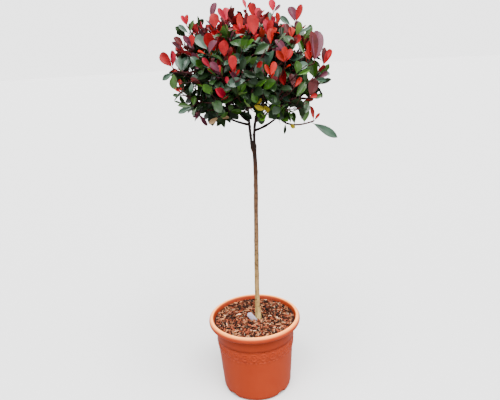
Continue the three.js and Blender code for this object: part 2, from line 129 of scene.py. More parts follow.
def turned(profile, sides, shape):
    """Points and faces of a closed turned body. Its profile starts and ends on the axis, and
    shape changes the radius and height of its points."""
    angles = np.arange(sides) * 2 * math.pi / sides
    rows = np.array(profile[1:-1])
    radius, height = (np.repeat(rows[:, k:k + 1], sides, 1) for k in (0, 1))
    radius, height = shape(radius, height, angles[None, :])
    points = np.stack((radius * np.cos(angles), radius * np.sin(angles), height), -1)
    low, high = (0, 0, profile[0][1]), (0, 0, profile[-1][1])
    points = np.vstack((points.reshape(-1, 3), low, high))
    last = (len(rows) - 1) * sides
    faces = []
    for j in range(sides):
        k = (j + 1) % sides
        faces.append((len(points) - 2, k, j))
        faces.append((last + j, last + k, len(points) - 1))
        faces += [(i + j, i + k, i + sides + k, i + sides + j) for i in range(0, last, sides)]
    return points, faces


def pot_shape(radius, height, angle):
    """The frieze's relief on the outer wall, and the gaps in the foot ring. Each motif is a ring
    round a boss with petals, with a bead between it and the next, over a row of dashes."""
    pitch = 2 * math.pi / MOTIFS
    across = ((angle + pitch / 2) % pitch - pitch / 2) * GROOVE_RADIUS
    up = height - (FRIEZE_LOW + FRIEZE_HIGH + 2) / 2
    outside = radius > wall_at(height) - 0.5 * WALL_THICKNESS
    on_band = outside & (height > FRIEZE_LOW) & (height < FRIEZE_HIGH)
    from_middle = np.hypot(across / MOTIF_SIZE[0], up / MOTIF_SIZE[1])
    ring = np.exp(-((from_middle - MOTIF_RING[0]) / MOTIF_RING[1]) ** 2)
    petals = 1 - PETAL_DEPTH + PETAL_DEPTH * np.cos(MOTIF_PETALS * np.arctan2(across, up))
    boss = np.exp(-(from_middle / MOTIF_BOSS) ** 4) * petals
    from_bead = np.abs(across) - pitch / 2 * GROOVE_RADIUS
    bead = np.exp(-(from_bead / BEAD_SIZE[0]) ** 2 - (up / BEAD_SIZE[1]) ** 2)
    relief = MOTIF_RELIEF * np.clip(RING_SHARE * ring + boss + bead, 0, 1)
    dash = ((angle % (pitch / 2)) * GROOVE_RADIUS < DASH_LENGTH) & (np.abs(height - DASH_HEIGHT) < 1)
    radius = radius + relief * on_band + DASH_SHARE * MOTIF_RELIEF * (dash & outside)
    gap_pitch = 2 * math.pi / FOOT_GAPS
    bearing = angle - math.radians(FOOT_GAP_BEARING - 90)
    from_gap = np.abs((bearing + gap_pitch / 2) % gap_pitch - gap_pitch / 2) * FOOT_RADIUS
    arch = FOOT_GAP_HEIGHT * (1 - np.clip(from_gap / (FOOT_GAP_WIDTH / 2), 0, 1) ** 5)
    return radius, np.where(radius > FOOT_INNER_RADIUS - 0.5, np.maximum(height, arch), height)


pot_corners = [
    (0, 0, 0),
    (BASE_DISC_RADIUS, 0, 0.8),
    (BASE_DISC_RADIUS + 1, UNDER_DEPTH, 0.8),
    (FOOT_INNER_RADIUS - 1, UNDER_DEPTH, 0.8),
    (FOOT_INNER_RADIUS, 0, 0.8),
    (FOOT_RADIUS - 1.5, 0, 1.2),
    (FOOT_RADIUS + 4.5, 4.5, 3.5),
    (HEEL_RADIUS, HEEL_HEIGHT, 6),
    (wall_at(FRIEZE_LOW), FRIEZE_LOW, 0.4),
    (wall_at(FRIEZE_LOW) + FRIEZE_PROUD, FRIEZE_LOW + 2, 0.6),
    (wall_at(FRIEZE_HIGH) + FRIEZE_PROUD, GROOVE_HEIGHT - 2, 0.4),
    (GROOVE_RADIUS - GROOVE_DEPTH, GROOVE_HEIGHT - 0.8, 0.3),
    (GROOVE_RADIUS + 1.4, GROOVE_HEIGHT + 0.2, 0.5),
    (NECK_RADIUS, LIP_FOOT - 6, 2),
    (LIP_RADIUS - 4, LIP_FOOT, 2),
    (LIP_RADIUS, LIP_FOOT + 5, 3),
    (LIP_RADIUS, POT_HEIGHT - 5, 4),
    (LIP_RADIUS - 5, POT_HEIGHT, 4),
    (MOUTH_RADIUS + 2, POT_HEIGHT, 2),
    (MOUTH_RADIUS, POT_HEIGHT - 4, 3),
    (NECK_RADIUS - WALL_THICKNESS + 1, LIP_FOOT - 8, 4),
    (wall_at(INNER_HEEL_HEIGHT) - WALL_THICKNESS, INNER_HEEL_HEIGHT, 4),
    (FOOT_RADIUS, FLOOR_THICKNESS, 4),
    (0, FLOOR_THICKNESS, 0),
]


def linear(hex_colour):
    """An sRGB hex colour as linear red, green and blue, with alpha 1."""
    shares = [int(hex_colour[i:i + 2], 16) / 255 for i in (1, 3, 5)]
    return (*[s / 12.92 if s <= 0.04045 else ((s + 0.055) / 1.055) ** 2.4 for s in shares], 1)


def plug(node, sockets):
    """Fills a node's sockets, each with a value or with a link from another node's output."""
    for socket, value in sockets.items():
        if isinstance(value, bpy.types.NodeSocket):
            node.id_data.links.new(value, node.inputs[socket])
        else:
            node.inputs[socket].default_value = value


def add_node(tree, kind, sockets=None, gives=None, **settings):
    """Adds a node with its settings and links. Gives its named output, or else its first one."""
    added = tree.nodes.new(f"ShaderNode{kind}")
    for setting, value in settings.items():
        setattr(added, setting, value)
    plug(added, sockets or {})
    return added.outputs[gives] if gives else next(out for out in added.outputs if out.enabled)


def make_material(name, surface, *particulars):
    """A material. Its surface function adds the nodes and gives what the shader's sockets take."""
    material = bpy.data.materials.new(name)
    material.use_nodes = True
    add = partial(add_node, material.node_tree)
    place = add("TexCoord", gives="Object")
    plug(material.node_tree.nodes["Principled BSDF"], surface(add, place, *particulars))
    return material


def per_metre(size):
    """A texture scale that gives features of a size in millimetres."""
    return 1 / (size * MM)


def shaded(add, colour, texture, reads, shades):
    """A colour turned darker and lighter by a texture. What it reads becomes a range of shades."""
    shade = add("MapRange", {
        "Value": texture, "From Min": reads[0], "From Max": reads[1],
        "To Min": shades[0], "To Max": shades[1],
    })
    return add("Mix", {"Factor": 1, "A": colour, "B": shade}, data_type="RGBA", blend_type="MULTIPLY")


def moulded_polypropylene(add, place):
    """Polypropylene from a satin mould: an even colour that clouds a little, a soft broad gloss,
    and a fine grain, drawn at 1.4 mm where the real one is near 0.3 mm so that it shows. The
    lip's upward faces carry a painted highlight in pale peach, and painted shade darkens the
    groove, the corner under the lip and the inner wall."""
    cloud = add("TexNoise", {"Vector": place, "Scale": per_metre(45), "Detail": 4})
    colour = add("Mix", {"Factor": cloud, "A": linear("#8A2B11"), "B": linear("#963516")}, data_type="RGBA")
    facing = add("NewGeometry", gives="Normal")
    upward = add("SeparateXYZ", {"Vector": facing}, gives="Z")
    level = add("SeparateXYZ", {"Vector": place}, gives="Z")
    # Painted highlight: upward faces on the lip are mixed towards pale peach.
    upward = add("MapRange", {"Value": upward, "From Min": 0.38, "From Max": 0.95})
    on_lip = add("MapRange", {"Value": level, "From Min": LIP_FOOT * MM, "From Max": POT_HEIGHT * MM})
    painted_highlight = add("Math", {0: upward, 1: on_lip}, operation="MULTIPLY")
    colour = add("Mix", {"Factor": painted_highlight, "A": colour, "B": linear("#FF9C46")}, data_type="RGBA")
    # Painted shade: faces that point in towards the pot's axis, such as the inner wall, are darkened.
    outward = add("VectorMath", {0: facing, 1: place}, operation="DOT_PRODUCT")
    colour = shaded(add, colour, outward, (-0.08, -0.02), (0.33, 1))
    # Painted shade: dark bands along the groove and along the corner under the lip.
    for height, reach, darkest in ((GROOVE_HEIGHT, 7, 0.68), (LIP_FOOT - 4, 4, 0.82)):
        above = add("Math", {0: level, 1: height * MM}, operation="SUBTRACT")
        apart = add("Math", {0: above}, operation="ABSOLUTE")
        colour = shaded(add, colour, apart, (MM, reach * MM), (darkest, 1))
    gloss = add("MapRange", {"Value": cloud, "To Min": 0.36, "To Max": 0.48})
    grain = add("TexNoise", {"Vector": place, "Scale": per_metre(1.4), "Detail": 2})
    bump = add("Bump", {"Height": grain, "Distance": 0.06 * MM, "Strength": 0.5})
    return {"Base Color": colour, "Roughness": gloss, "Normal": bump, "IOR": 1.49, "Specular IOR Level": 0.15}


def make_piece(name, shape, materials, nodes=(), face_slots=None, sharp_over=None):
    """A piece of the plant, from points in millimetres and faces. It rides on the one body,
    takes the materials that it is given, and stands for the nodes that are named."""
    points, faces = shape
    mesh = bpy.data.meshes.new(name)
    mesh.from_pydata((np.asarray(points, float) * MM).tolist(), [], faces)
    for material in materials:
        mesh.materials.append(material)
    if face_slots is not None:
        mesh.polygons.foreach_set("material_index", face_slots)
    mesh.shade_smooth()
    if sharp_over:
        mesh.set_sharp_from_angle(angle=math.radians(sharp_over))
    piece = bpy.data.objects.new(name, mesh)
    bpy.context.collection.objects.link(piece)
    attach(piece, "root")
    if nodes:
        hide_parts(*nodes)


pot_profile = with_rows_between(rounded(pot_corners), FRIEZE_LOW - 5, FRIEZE_HIGH, FRIEZE_ROW)
make_piece("moulded_pot", turned(pot_profile, MOTIFS * COLUMNS_PER_MOTIF, pot_shape),
           [make_material("terracotta_polypropylene", moulded_polypropylene)],
           ["pot"], sharp_over=50)

# The compost: composted pine bark, loose and damp, that fills the pot to just under its lip.
# A dark crumbly bed lies flat under the trunk's foot and mounds slightly to the back right,
# with bark chips of 3.5 to 17 mm lying on it and half sunk in it.
SOIL_LEVEL = 206
SOIL_RADIUS = NECK_RADIUS + 1.5
SOIL_MOUND = 6
SOIL_EDGE_RISE = 4.5
SOIL_REST_RADIUS = 12
SOIL_LUMPS = (2.2, 11)
SOIL_CRUMBS = (1.1, 4)
BED_DROP = 1.6
BED_RINGS = 44
BED_SIDES = 144
BED_GAP = 0.3
CHIP_COUNT = 3000
SHORT_CHIPS = (3.5, 7)
LONG_CHIPS = (7, 17)
CHIP_WIDTH = (0.18, 0.38)
CHIP_THICKNESS = (0.8, 1.8)
CHIP_LIFT = (0, 2.6)
# Along a chip: the share of its length, and how full it is there.
CHIP_RINGS = ((-0.5, 0.45), (-0.22, 0.95), (0.2, 1.0), (0.5, 0.4))
CHIP_SIDES = 6
# Each kind of chip: its colour, and its share of the chips.
CHIP_KINDS = {
    "black": ("#080402", 0.22),
    "umber": ("#26120A", 0.2),
    "russet": ("#582A1A", 0.19),
    "brick": ("#8A4028", 0.16),
    "tan": ("#A86E4A", 0.15),
    "ash": ("#806A56", 0.05),
    "cream": ("#D0A484", 0.03),
}
TRUNK_FOOT = (11, 5.5)
CLEAR_OF_TRUNK = 10.5
GOLDEN_ANGLE = 137.508
dice = np.random.default_rng(71)


def soil_height(x, y):
    """Height of the bed under a point: flat by the trunk, mounded and lumpy beyond."""
    from_trunk = math.hypot(x - TRUNK_FOOT[0], y - TRUNK_FOOT[1])
    inner = 1 - (x * x + y * y) / SOIL_RADIUS ** 2
    away = min(1, max(0, (from_trunk - SOIL_REST_RADIUS) / (2 * SOIL_REST_RADIUS)))
    side = (x + y) / (2 * SOIL_RADIUS)
    mound = away * (inner * SOIL_MOUND * (0.45 + side) + SOIL_EDGE_RISE)
    lumps = SOIL_LUMPS[0] * noise.noise(Vector((x, y, 0)) / SOIL_LUMPS[1])
    crumbs = SOIL_CRUMBS[0] * noise.noise(Vector((x, y, 50)) / SOIL_CRUMBS[1])
    return SOIL_LEVEL - BED_DROP + mound + away * (lumps + crumbs)


def crumbled(radius, height, angle):
    """The bed's top rows, raised to the height of the compost there."""
    top = height > SOIL_LEVEL - 2 * BED_DROP
    for i, j in zip(*np.nonzero(top)):
        x, y = radius[i, j] * math.cos(angle[0, j]), radius[i, j] * math.sin(angle[0, j])
        height[i, j] = soil_height(x, y)
    return radius, height


def composted_bark(add, place):
    """Damp bark crumb: near black with red-brown fibres, and fully matt. Its crumbs are drawn at
    3 mm, which is life size."""
    crumbs = add("TexNoise", {"Vector": place, "Scale": per_metre(3), "Detail": 5})
    colour = add("ValToRGB", {"Fac": crumbs})
    dark, fibrous = colour.node.color_ramp.elements
    dark.position, dark.color = 0.35, linear("#0E0705")
    fibrous.position, fibrous.color = 0.7, linear("#3A1A10")
    bump = add("Bump", {"Height": crumbs, "Distance": 1.2 * MM})
    return {"Base Color": colour, "Normal": bump, "Roughness": 0.95, "Specular IOR Level": 0.1}


def bark_chip(add, place, hex_colour):
    """A broken bark chip: matt, fibrous, streaked a little lighter and darker every 2 mm."""
    streaks = add("TexNoise", {"Vector": place, "Scale": per_metre(2), "Detail": 3})
    colour = shaded(add, linear(hex_colour), streaks, (0, 1), (0.72, 1.22))
    bump = add("Bump", {"Height": streaks, "Distance": 0.4 * MM})
    return {"Base Color": colour, "Normal": bump, "Roughness": 0.88, "Specular IOR Level": 0.1}


def joined(shapes):
    """Several shapes' points and faces as one."""
    points, faces, start = [], [], 0
    for shape_points, shape_faces in shapes:
        points.append(shape_points)
        faces += [tuple(corner + start for corner in face) for face in shape_faces]
        start += len(shape_points)
    return np.vstack(points), faces


def ring_faces(rings, sides):
    """Faces of a closed bar: its rings of points joined, and both ends closed flat."""
    faces = [tuple(range(sides))[::-1], tuple(range((rings - 1) * sides, rings * sides))]
    for i in range(0, (rings - 1) * sides, sides):
        for j in range(sides):
            k = (j + 1) % sides
            faces.append((i + j, i + k, i + sides + k, i + sides + j))
    return faces


def broken_chip(length, width, thickness):
    """Points of one chip along X: four uneven rings, thinner at its ends."""
    rings = []
    for share, fullness in CHIP_RINGS:
        angles = (np.arange(CHIP_SIDES) + dice.uniform(-0.3, 0.3, CHIP_SIDES)) * 2 * math.pi / CHIP_SIDES
        spread = fullness * dice.uniform(0.75, 1.2, CHIP_SIDES)
        along = length * (share + dice.uniform(-0.06, 0.06, CHIP_SIDES))
        rings.append(np.stack((along, width / 2 * spread * np.cos(angles),
                               thickness / 2 * spread * np.sin(angles)), -1))
    return np.vstack(rings)


bed_profile = [
    (0, FLOOR_THICKNESS + BED_GAP),
    (FOOT_RADIUS - 2, FLOOR_THICKNESS + BED_GAP),
    (wall_at(INNER_HEEL_HEIGHT) - WALL_THICKNESS - BED_GAP, INNER_HEEL_HEIGHT),
    (SOIL_RADIUS - 4, LIP_FOOT - 8),
    (SOIL_RADIUS, SOIL_LEVEL - 4),
]
for ring in range(BED_RINGS, -1, -1):
    bed_profile.append((SOIL_RADIUS * ring / BED_RINGS, SOIL_LEVEL - BED_DROP))
make_piece("compost_bed", turned(bed_profile, BED_SIDES, crumbled),
           [make_material("composted_bark_crumb", composted_bark)], ["soil"])

chips = {kind: [] for kind in CHIP_KINDS}
chip_faces = ring_faces(len(CHIP_RINGS), CHIP_SIDES)
kind_shares = [share for colour, share in CHIP_KINDS.values()]
for i in range(CHIP_COUNT):
    radius = (SOIL_RADIUS - 5) * math.sqrt((i + 0.5) / CHIP_COUNT)
    angle = math.radians(GOLDEN_ANGLE * i) + dice.uniform(-0.1, 0.1)
    x, y = radius * math.cos(angle), radius * math.sin(angle)
    length = dice.uniform(*(SHORT_CHIPS if i % 5 > 1 else LONG_CHIPS))
    width = length * dice.uniform(*CHIP_WIDTH)
    thickness = dice.uniform(*CHIP_THICKNESS)
    yaw, tilt, roll = dice.uniform(0, 2 * math.pi), dice.normal(0, 0.35), dice.normal(0, 0.5)
    turn = Matrix.Rotation(yaw, 3, "Z") @ Matrix.Rotation(tilt, 3, "Y") @ Matrix.Rotation(roll, 3, "X")
    lift = dice.uniform(*CHIP_LIFT)
    kind = dice.choice(list(CHIP_KINDS), p=kind_shares)
    chip = broken_chip(length, width, thickness) @ np.array(turn).T
    if math.hypot(x - TRUNK_FOOT[0], y - TRUNK_FOOT[1]) < CLEAR_OF_TRUNK + length / 2:
        continue
    if radius > SOIL_RADIUS - length / 2:
        x, y = x * 0.96, y * 0.96
    chips[kind].append((chip + (x, y, soil_height(x, y) + lift), chip_faces))
for kind, shapes in chips.items():
    chip_material = make_material(f"bark_chip_{kind}", bark_chip, CHIP_KINDS[kind][0])
    make_piece(f"bark_chips_{kind}", joined(shapes), [chip_material], sharp_over=40)

# The label: a blank plant tag die-cut from pale lilac polystyrene sheet, with a round top. It is
# pushed into the compost by the trunk's foot and leans to the left.
LABEL_WIDTH = 15
LABEL_HEIGHT = 41
LABEL_THICK = 0.9
LABEL_EASE = 0.25
LABEL_BURIED = 9
LABEL_LEAN = 32
LABEL_TILT = 12
LABEL_FOOT = (0, -8, SOIL_LEVEL)
LABEL_BOW = 1.6


def die_cut_polystyrene(add, place):
    """Polystyrene sheet: smooth, with a low even gloss, and a little dulled by damp dust."""
    dust = add("TexNoise", {"Vector": place, "Scale": per_metre(6), "Detail": 4})
    colour = add("Mix", {"Factor": dust, "A": linear("#C2B8CA"), "B": linear("#A094A6")}, data_type="RGBA")
    dulling = add("MapRange", {"Value": dust, "To Min": 0.3, "To Max": 0.55})
    return {"Base Color": colour, "Roughness": dulling, "IOR": 1.59}


def label_shape():
    """The tag's outline, swept through its thickness with eased edges, bowed, leaned and set."""
    half = LABEL_WIDTH / 2
    outline = [(-half, 0), (half, 0), (half, (LABEL_HEIGHT - half) / 2)]
    for angle in np.linspace(0, math.pi, 19):
        outline.append((half * math.cos(angle), LABEL_HEIGHT - half + half * math.sin(angle)))
    outline.append((-half, (LABEL_HEIGHT - half) / 2))
    outline = np.array(outline)
    rings = []
    for depth, inset in ((-0.5, LABEL_EASE), (-0.3, 0), (0.3, 0), (0.5, LABEL_EASE)):
        edge = outline - (outline - outline.mean(0)) * inset / half
        bow = LABEL_BOW * (edge[:, 1] / LABEL_HEIGHT) ** 2
        rings.append(np.stack((edge[:, 0], bow - depth * LABEL_THICK, edge[:, 1]), -1))
    points = np.vstack(rings) - (0, 0, LABEL_BURIED)
    lean = Matrix.Rotation(math.radians(-LABEL_LEAN), 3, "Y")
    tilt = Matrix.Rotation(math.radians(LABEL_TILT), 3, "X")
    return points @ np.array(lean @ tilt).T + LABEL_FOOT, ring_faces(4, len(outline))


make_piece("plant_label", label_shape(), [make_material("label_polystyrene", die_cut_polystyrene)],
           ["label"], sharp_over=60)

# The trunk: one bare stem of young wood, 11 to 14 mm thick, from the compost to the fork. Its
# thin bark is olive-grey near the foot and red-brown near the top, with lenticels, a few knots
# where side shoots were pruned, and a darker swollen knuckle where the crown was worked on it.
TRUNK_LINE = [(11, 5.5, 206.3), (10.8, 5.5, 265), (18.6, 4, 500), (23.9, 2, 671), (20.5, 1, 720)]
TRUNK_RADII = (6.7, 5.4)
FLARE = 3.2
FLARE_HEIGHT = 16
KNUCKLE_HEIGHT = 706
KNUCKLE_RADIUS = 2.6
KNUCKLE_SPREAD = 12
TRUNK_SIDES = 40
TRUNK_STEP = 1.5
# Forms of the bark: how far each stands out, how often it changes round the trunk, where its
# pattern starts, and the height over which it changes.
GIRTH = (0.45, 0.8, (0, 0), 45)
RIDGES = (0.28, 3.2, (7, 0), 16)
LENTICELS = (1.4, 4.5, (0, 31), 3.2)
GNARLS = (1.1, 1.5, (0, 9), 9)
LENTICEL_FLOOR = 0.38
GNARLS_SPREAD = 1.6 * KNUCKLE_SPREAD
LOBES = (0.9, 1.6)
LOBES_HEIGHT = 9
# Pruning knots: height, bearing, and how far each stands out.
KNOTS = (
    (234, 60, 1.6), (263, 20, 1.3), (298, -30, 1.5), (344, 35, 1.4), (402, 120, 1.2), (447, -60, 1.1),
    (512, 200, 1.3), (556, 10, 1.9), (603, -100, 1.2), (640, 70, 1.3), (668, -20, 1.2),
)
KNOT_REACH = 12
KNOT_HALF_WIDTH = 3.6
KNOT_ABOVE, KNOT_BELOW = 3.4, 6


def smooth_line(corners, count):
    """Points on a centripetal Catmull-Rom curve through corners."""
    corners = [Vector(corner) for corner in corners]
    corners = [2 * corners[0] - corners[1], *corners, 2 * corners[-1] - corners[-2]]
    spans = len(corners) - 3
    line = []
    for i in range(count + 1):
        span = min(int(i / count * spans), spans - 1)
        share = i / count * spans - span
        a, b, c, d = corners[span:span + 4]
        first, middle, last = ((q - p).length ** 0.5 for p, q in ((a, b), (b, c), (c, d)))
        slope_in = ((b - a) / first - (c - a) / (first + middle) + (c - b) / middle) * middle
        slope_out = ((c - b) / middle - (d - b) / (middle + last) + (d - c) / last) * middle
        line.append(b + slope_in * share + (3 * (c - b) - 2 * slope_in - slope_out) * share ** 2
                    + (2 * (b - c) + slope_in + slope_out) * share ** 3)
    return line


def between(pair, share):
    """The value at a share of the way from a pair's first to its second."""
    return pair[0] + (pair[1] - pair[0]) * share


def limb(line, radii, sides, relief=None):
    """Points and faces of a closed round limb along a line, with a radius for each point."""
    line = np.array([tuple(point) for point in line])
    along = np.gradient(line, axis=0)
    along /= np.linalg.norm(along, axis=1)[:, None]
    first = np.cross(along[0], (0, 1, 0) if abs(along[0][1]) < 0.9 else (1, 0, 0))
    angles = np.arange(sides) * 2 * math.pi / sides
    rings = []
    for point, direction, radius in zip(line, along, radii):
        first = first - direction * np.dot(first, direction)
        first /= np.linalg.norm(first)
        second = np.cross(direction, first)
        out = np.cos(angles)[:, None] * first + np.sin(angles)[:, None] * second
        reach = radius if relief is None else relief(point, out, radius)[:, None]
        rings.append(point + out * reach)
    return np.vstack(rings), ring_faces(len(line), sides)


def trunk_radius(height):
    """An even taper, a flare at the foot, and a knuckle under the fork."""
    foot, top = TRUNK_LINE[0][2], TRUNK_LINE[-1][2]
    flare = FLARE * math.exp(-(height - foot) / FLARE_HEIGHT)
    knuckle = KNUCKLE_RADIUS * math.exp(-((height - KNUCKLE_HEIGHT) / KNUCKLE_SPREAD) ** 2)
    return between(TRUNK_RADII, (height - foot) / (top - foot)) + flare + knuckle


def heading(bearing):
    """The level direction of a bearing in degrees."""
    angle = math.radians(bearing)
    return Vector((math.sin(angle), -math.cos(angle), 0))


def bark_form(form, way, height, floor=0):
    """How far a form of the bark stands out on one side of the trunk, above a floor if it has one."""
    proud, often, start, length = form
    swell = noise.noise(way * often + Vector((*start, height / length)))
    return proud * (max(0, swell - floor) if floor else swell)


def trunk_relief(point, out, radius):
    """The bark's own shape: uneven girth, shallow ridges, lenticels, knots and a lobed foot."""
    height = point[2]
    reach = np.empty(len(out))
    knuckle = math.exp(-((height - KNUCKLE_HEIGHT) / GNARLS_SPREAD) ** 2)
    near_foot = math.exp(-(height - TRUNK_LINE[0][2]) / LOBES_HEIGHT)
    for i, direction in enumerate(out):
        way = Vector(direction)
        lobes = near_foot * LOBES[0] * noise.noise(way * LOBES[1] + Vector((3, 3, 3)))
        reach[i] = (radius + bark_form(GIRTH, way, height) + bark_form(RIDGES, way, height)
                    + bark_form(LENTICELS, way, height, LENTICEL_FLOOR) + lobes
                    + knuckle * bark_form(GNARLS, way, height))
        for knot_height, bearing, proud in KNOTS:
            above = height - knot_height
            if abs(above) < KNOT_REACH:
                sideways = way.angle(heading(bearing)) * radius / KNOT_HALF_WIDTH
                upright = above / (KNOT_ABOVE if above > 0 else KNOT_BELOW)
                reach[i] += proud * math.exp(-sideways ** 2 - upright ** 2)
    return reach


def young_bark(add, place, streak, roughness, foot_colour, tip_colour, between_them=()):
    """Thin bark of young wood: smooth and faintly satin, drawn out along the stem in streaks and
    spotted with corky lenticels. Its colour runs from the trunk's foot to the crown's middle,
    by way of pairs of a height share and a colour. Streak is the streaks' width."""
    drawn_out = add("Mapping", {"Vector": place, "Scale": (1, 1, 0.16)})
    streaks = add("TexNoise", {"Vector": drawn_out, "Scale": per_metre(streak), "Detail": 6})
    height = add("SeparateXYZ", {"Vector": place}, gives="Z")
    wander = add("TexNoise", {"Vector": place, "Scale": per_metre(30), "Detail": 3})
    wandering = add("Math", {0: wander, 1: 0.1, 2: height}, operation="MULTIPLY_ADD")
    share = add("MapRange", {"Value": wandering, "From Min": 0.25, "From Max": 0.77})
    colour = add("ValToRGB", {"Fac": share})
    stops = colour.node.color_ramp.elements
    stops[0].color = linear(foot_colour)
    stops[1].color = linear(tip_colour)
    for position, hex_colour in between_them:
        stops.new(position).color = linear(hex_colour)
    colour = shaded(add, colour, streaks, (0.25, 0.75), (0.42, 1.36))
    spots = add("TexNoise", {"Vector": place, "Scale": per_metre(1.6 * streak), "Detail": 1})
    colour = shaded(add, colour, spots, (0.55, 0.64), (1, 0.5))
    bump = add("Bump", {"Height": streaks, "Distance": 0.35 * MM})
    return {"Base Color": colour, "Normal": bump, "Roughness": roughness, "Specular IOR Level": 0.15}


trunk_bark = make_material("trunk_bark", young_bark, 5, 0.72, "#AA9058", "#20120C", (
    (0.12, "#A0824E"), (0.45, "#785A3E"), (0.72, "#624430"), (0.88, "#44291D"),
))
trunk_line = smooth_line(TRUNK_LINE, int((TRUNK_LINE[-1][2] - TRUNK_LINE[0][2]) / TRUNK_STEP))
trunk_radii = [trunk_radius(point.z) for point in trunk_line]
make_piece("trunk_with_bark", limb(trunk_line, trunk_radii, TRUNK_SIDES, trunk_relief), [trunk_bark],
           ["trunk"], sharp_over=70)

# The leaders and boughs: two thin dark leaders stand side by side on the fork, and ten boughs
# leave them and bend outwards and up, one into each mass of leaves. Their wood is two or three
# years old, with dark red-brown bark that is still smooth, painted nearly black as painted shade.
CROWN_MIDDLE = Vector((18, 0, 905))
# Two rings of masses: each one's place, and the height at which its bough leaves a leader. The
# top and one high mass are fed by the leaders themselves.
RINGS = {
    "low": {"height": 838, "distance": 118, "first_bearing": 30, "forks": {
        "front_right": 772, "right": 748, "back_right": 780, "back_left": 772, "left": 764, "front_left": 786,
    }},
    "high": {"height": 935, "distance": 95, "first_bearing": 0, "forks": {
        "front": 806, "right": None, "back_right": 814, "back_left": 824, "left": 800,
    }},
}
TOP_HEIGHT = 985
LEADERS = {
    "left": ((17.2, 1, 710), (6, -3, 842), "top"),
    "right": ((24.2, 1, 710), (20, 4, 818), "high_right"),
}
LEADER_RADII = (3.7, 2.5)
LEADER_INTO_MASS = 0.72
BOUGH_RADII = (3.6, 2.3)
BOUGH_INTO_MASS = 0.5
FORK_SEARCH_STEP = 0.002
# Where a bough bends: shares of its way out and of its rise.
BOUGH_BENDS = {"low": (0.55, 0.16), "high": (0.42, 0.42)}
BOUGH_SIDES = 14
BOUGH_STEPS = 44
# Leaf joints: their spacing, half width, and how far they swell. Girth: how far, and over what.
LEAF_JOINTS = (22, 2.5, 0.22)
BOUGH_GIRTH = (0.16, 14)


def bezier(foot, bend, tip):
    """A quadratic curve as a function of the share along it."""
    foot, bend, tip = Vector(foot), Vector(bend), Vector(tip)
    return lambda t: foot * (1 - t) ** 2 + bend * 2 * t * (1 - t) + tip * t ** 2


def bough_relief(point, out, radius):
    """Uneven girth, with a slight swelling at each old leaf joint, every 22 mm."""
    spacing, half_width, proud = LEAF_JOINTS
    joint = proud * math.exp(-((point[2] % spacing - spacing / 2) / half_width) ** 2)
    wander = [noise.noise(Vector(way) + Vector(point) / BOUGH_GIRTH[1]) for way in out]
    return radius * (1 + joint + BOUGH_GIRTH[0] * np.array(wander))


# Painted shade: this bark is darker than its own dark red-brown, nearly black.
bough_bark = make_material("bough_bark", young_bark, 3, 0.7, "#140C09", "#1A0E0B")
masses = []


def make_bough(bough, mass, middle, path, radii, into_mass):
    """The part of a path that stands clear of its mass, as one tapering limb. The mass is kept:
    its name, its middle, and the rest of the path as its stem."""
    shares = np.linspace(0, into_mass, BOUGH_STEPS)
    line = [path(share) for share in shares]
    line_radii = [between(radii, share / into_mass) for share in shares]
    make_piece(f"{bough}_bark", limb(line, line_radii, BOUGH_SIDES, bough_relief), [bough_bark],
               [bough])
    masses.append({"name": mass, "middle": middle, "foot_radius": radii[1],
                   "stem": lambda share: path(into_mass + (1 - into_mass) * share)})


ring_places = {}
for level, ring in RINGS.items():
    for i, (place, fork) in enumerate(ring["forks"].items()):
        bearing = ring["first_bearing"] + 360 * i / len(ring["forks"])
        middle = CROWN_MIDDLE + heading(bearing) * ring["distance"]
        middle.z = ring["height"]
        ring_places[f"{level}_{place}"] = (level, middle, fork)
middles = {name: middle for name, (level, middle, fork) in ring_places.items()}
middles["top"] = Vector((CROWN_MIDDLE.x, CROWN_MIDDLE.y, TOP_HEIGHT))

leader_paths = {}
for side, (foot, bend, feeds) in LEADERS.items():
    leader_paths[side] = bezier(foot, bend, middles[feeds])
    make_bough(f"leader_{side}", feeds, middles[feeds], leader_paths[side], LEADER_RADII, LEADER_INTO_MASS)
for name, (level, middle, fork) in ring_places.items():
    if fork is None:
        continue
    leader = leader_paths["left" if middle.x < CROWN_MIDDLE.x + 1 else "right"]
    share = 0
    while leader(share).z < fork:
        share += FORK_SEARCH_STEP
    foot = leader(share)
    out, rise = BOUGH_BENDS[level]
    bend = foot.lerp(middle, out)
    bend.z = foot.z + (middle.z - foot.z) * rise
    make_bough(f"bough_{name}", name, middle, bezier(foot, bend, middle), BOUGH_RADII, BOUGH_INTO_MASS)

# The shoots: thin twigs that branch off the stems inside the masses and end on the crown's
# outline, spread evenly by the golden angle. Side twigs leave them again. The wood is this
# year's and last year's growth: brown inside the crown, and wine red towards the young leaves.
CROWN_WIDE = 214
CROWN_UP = 166
CROWN_DOWN = 148
CROWN_SQUARENESS = 2.6
STEM_TIP_RADIUS = 1.3
SHOOT_COUNT = 112
LOWEST_RISE = -0.72
SHOOT_FROM_STEM = (0.1, 0.95)
SHOOT_REACH = (0.86, 1.0)
TOP_HELD_BACK = {"front": 0.3, "back": 0.2}
SHOOT_LEAF_LENGTH = (38, 66)
SHOOT_OUTWARD = 0.75
SHOOT_UPTURN = (0.5, 0.8)
TUFT_ROOM = (0.4, 0.5)
TWIG_BEND = (0.45, 0.25)
SHOOT_RADII = (1.7, 1.0)
RED_FROM = 0.45


def chance(number, purpose):
    """Repeatable chance from 0 to 1 for a numbered thing and a purpose. Shoots are numbered from 0,
    side twigs from 1000, front twigs from 3000, sprig leaves from 4000, front leaves from 6000."""
    return (math.sin(number * 12.9898 + purpose * 78.233) * 43758.5453) % 1.0


def crown_reach(direction):
    """Distance from the crown's middle to its outline in a direction."""
    across = math.hypot(direction.x, direction.y) / CROWN_WIDE
    along = abs(direction.z) / (CROWN_UP if direction.z > 0 else CROWN_DOWN)
    return (across ** CROWN_SQUARENESS + along ** CROWN_SQUARENESS) ** (-1 / CROWN_SQUARENESS)


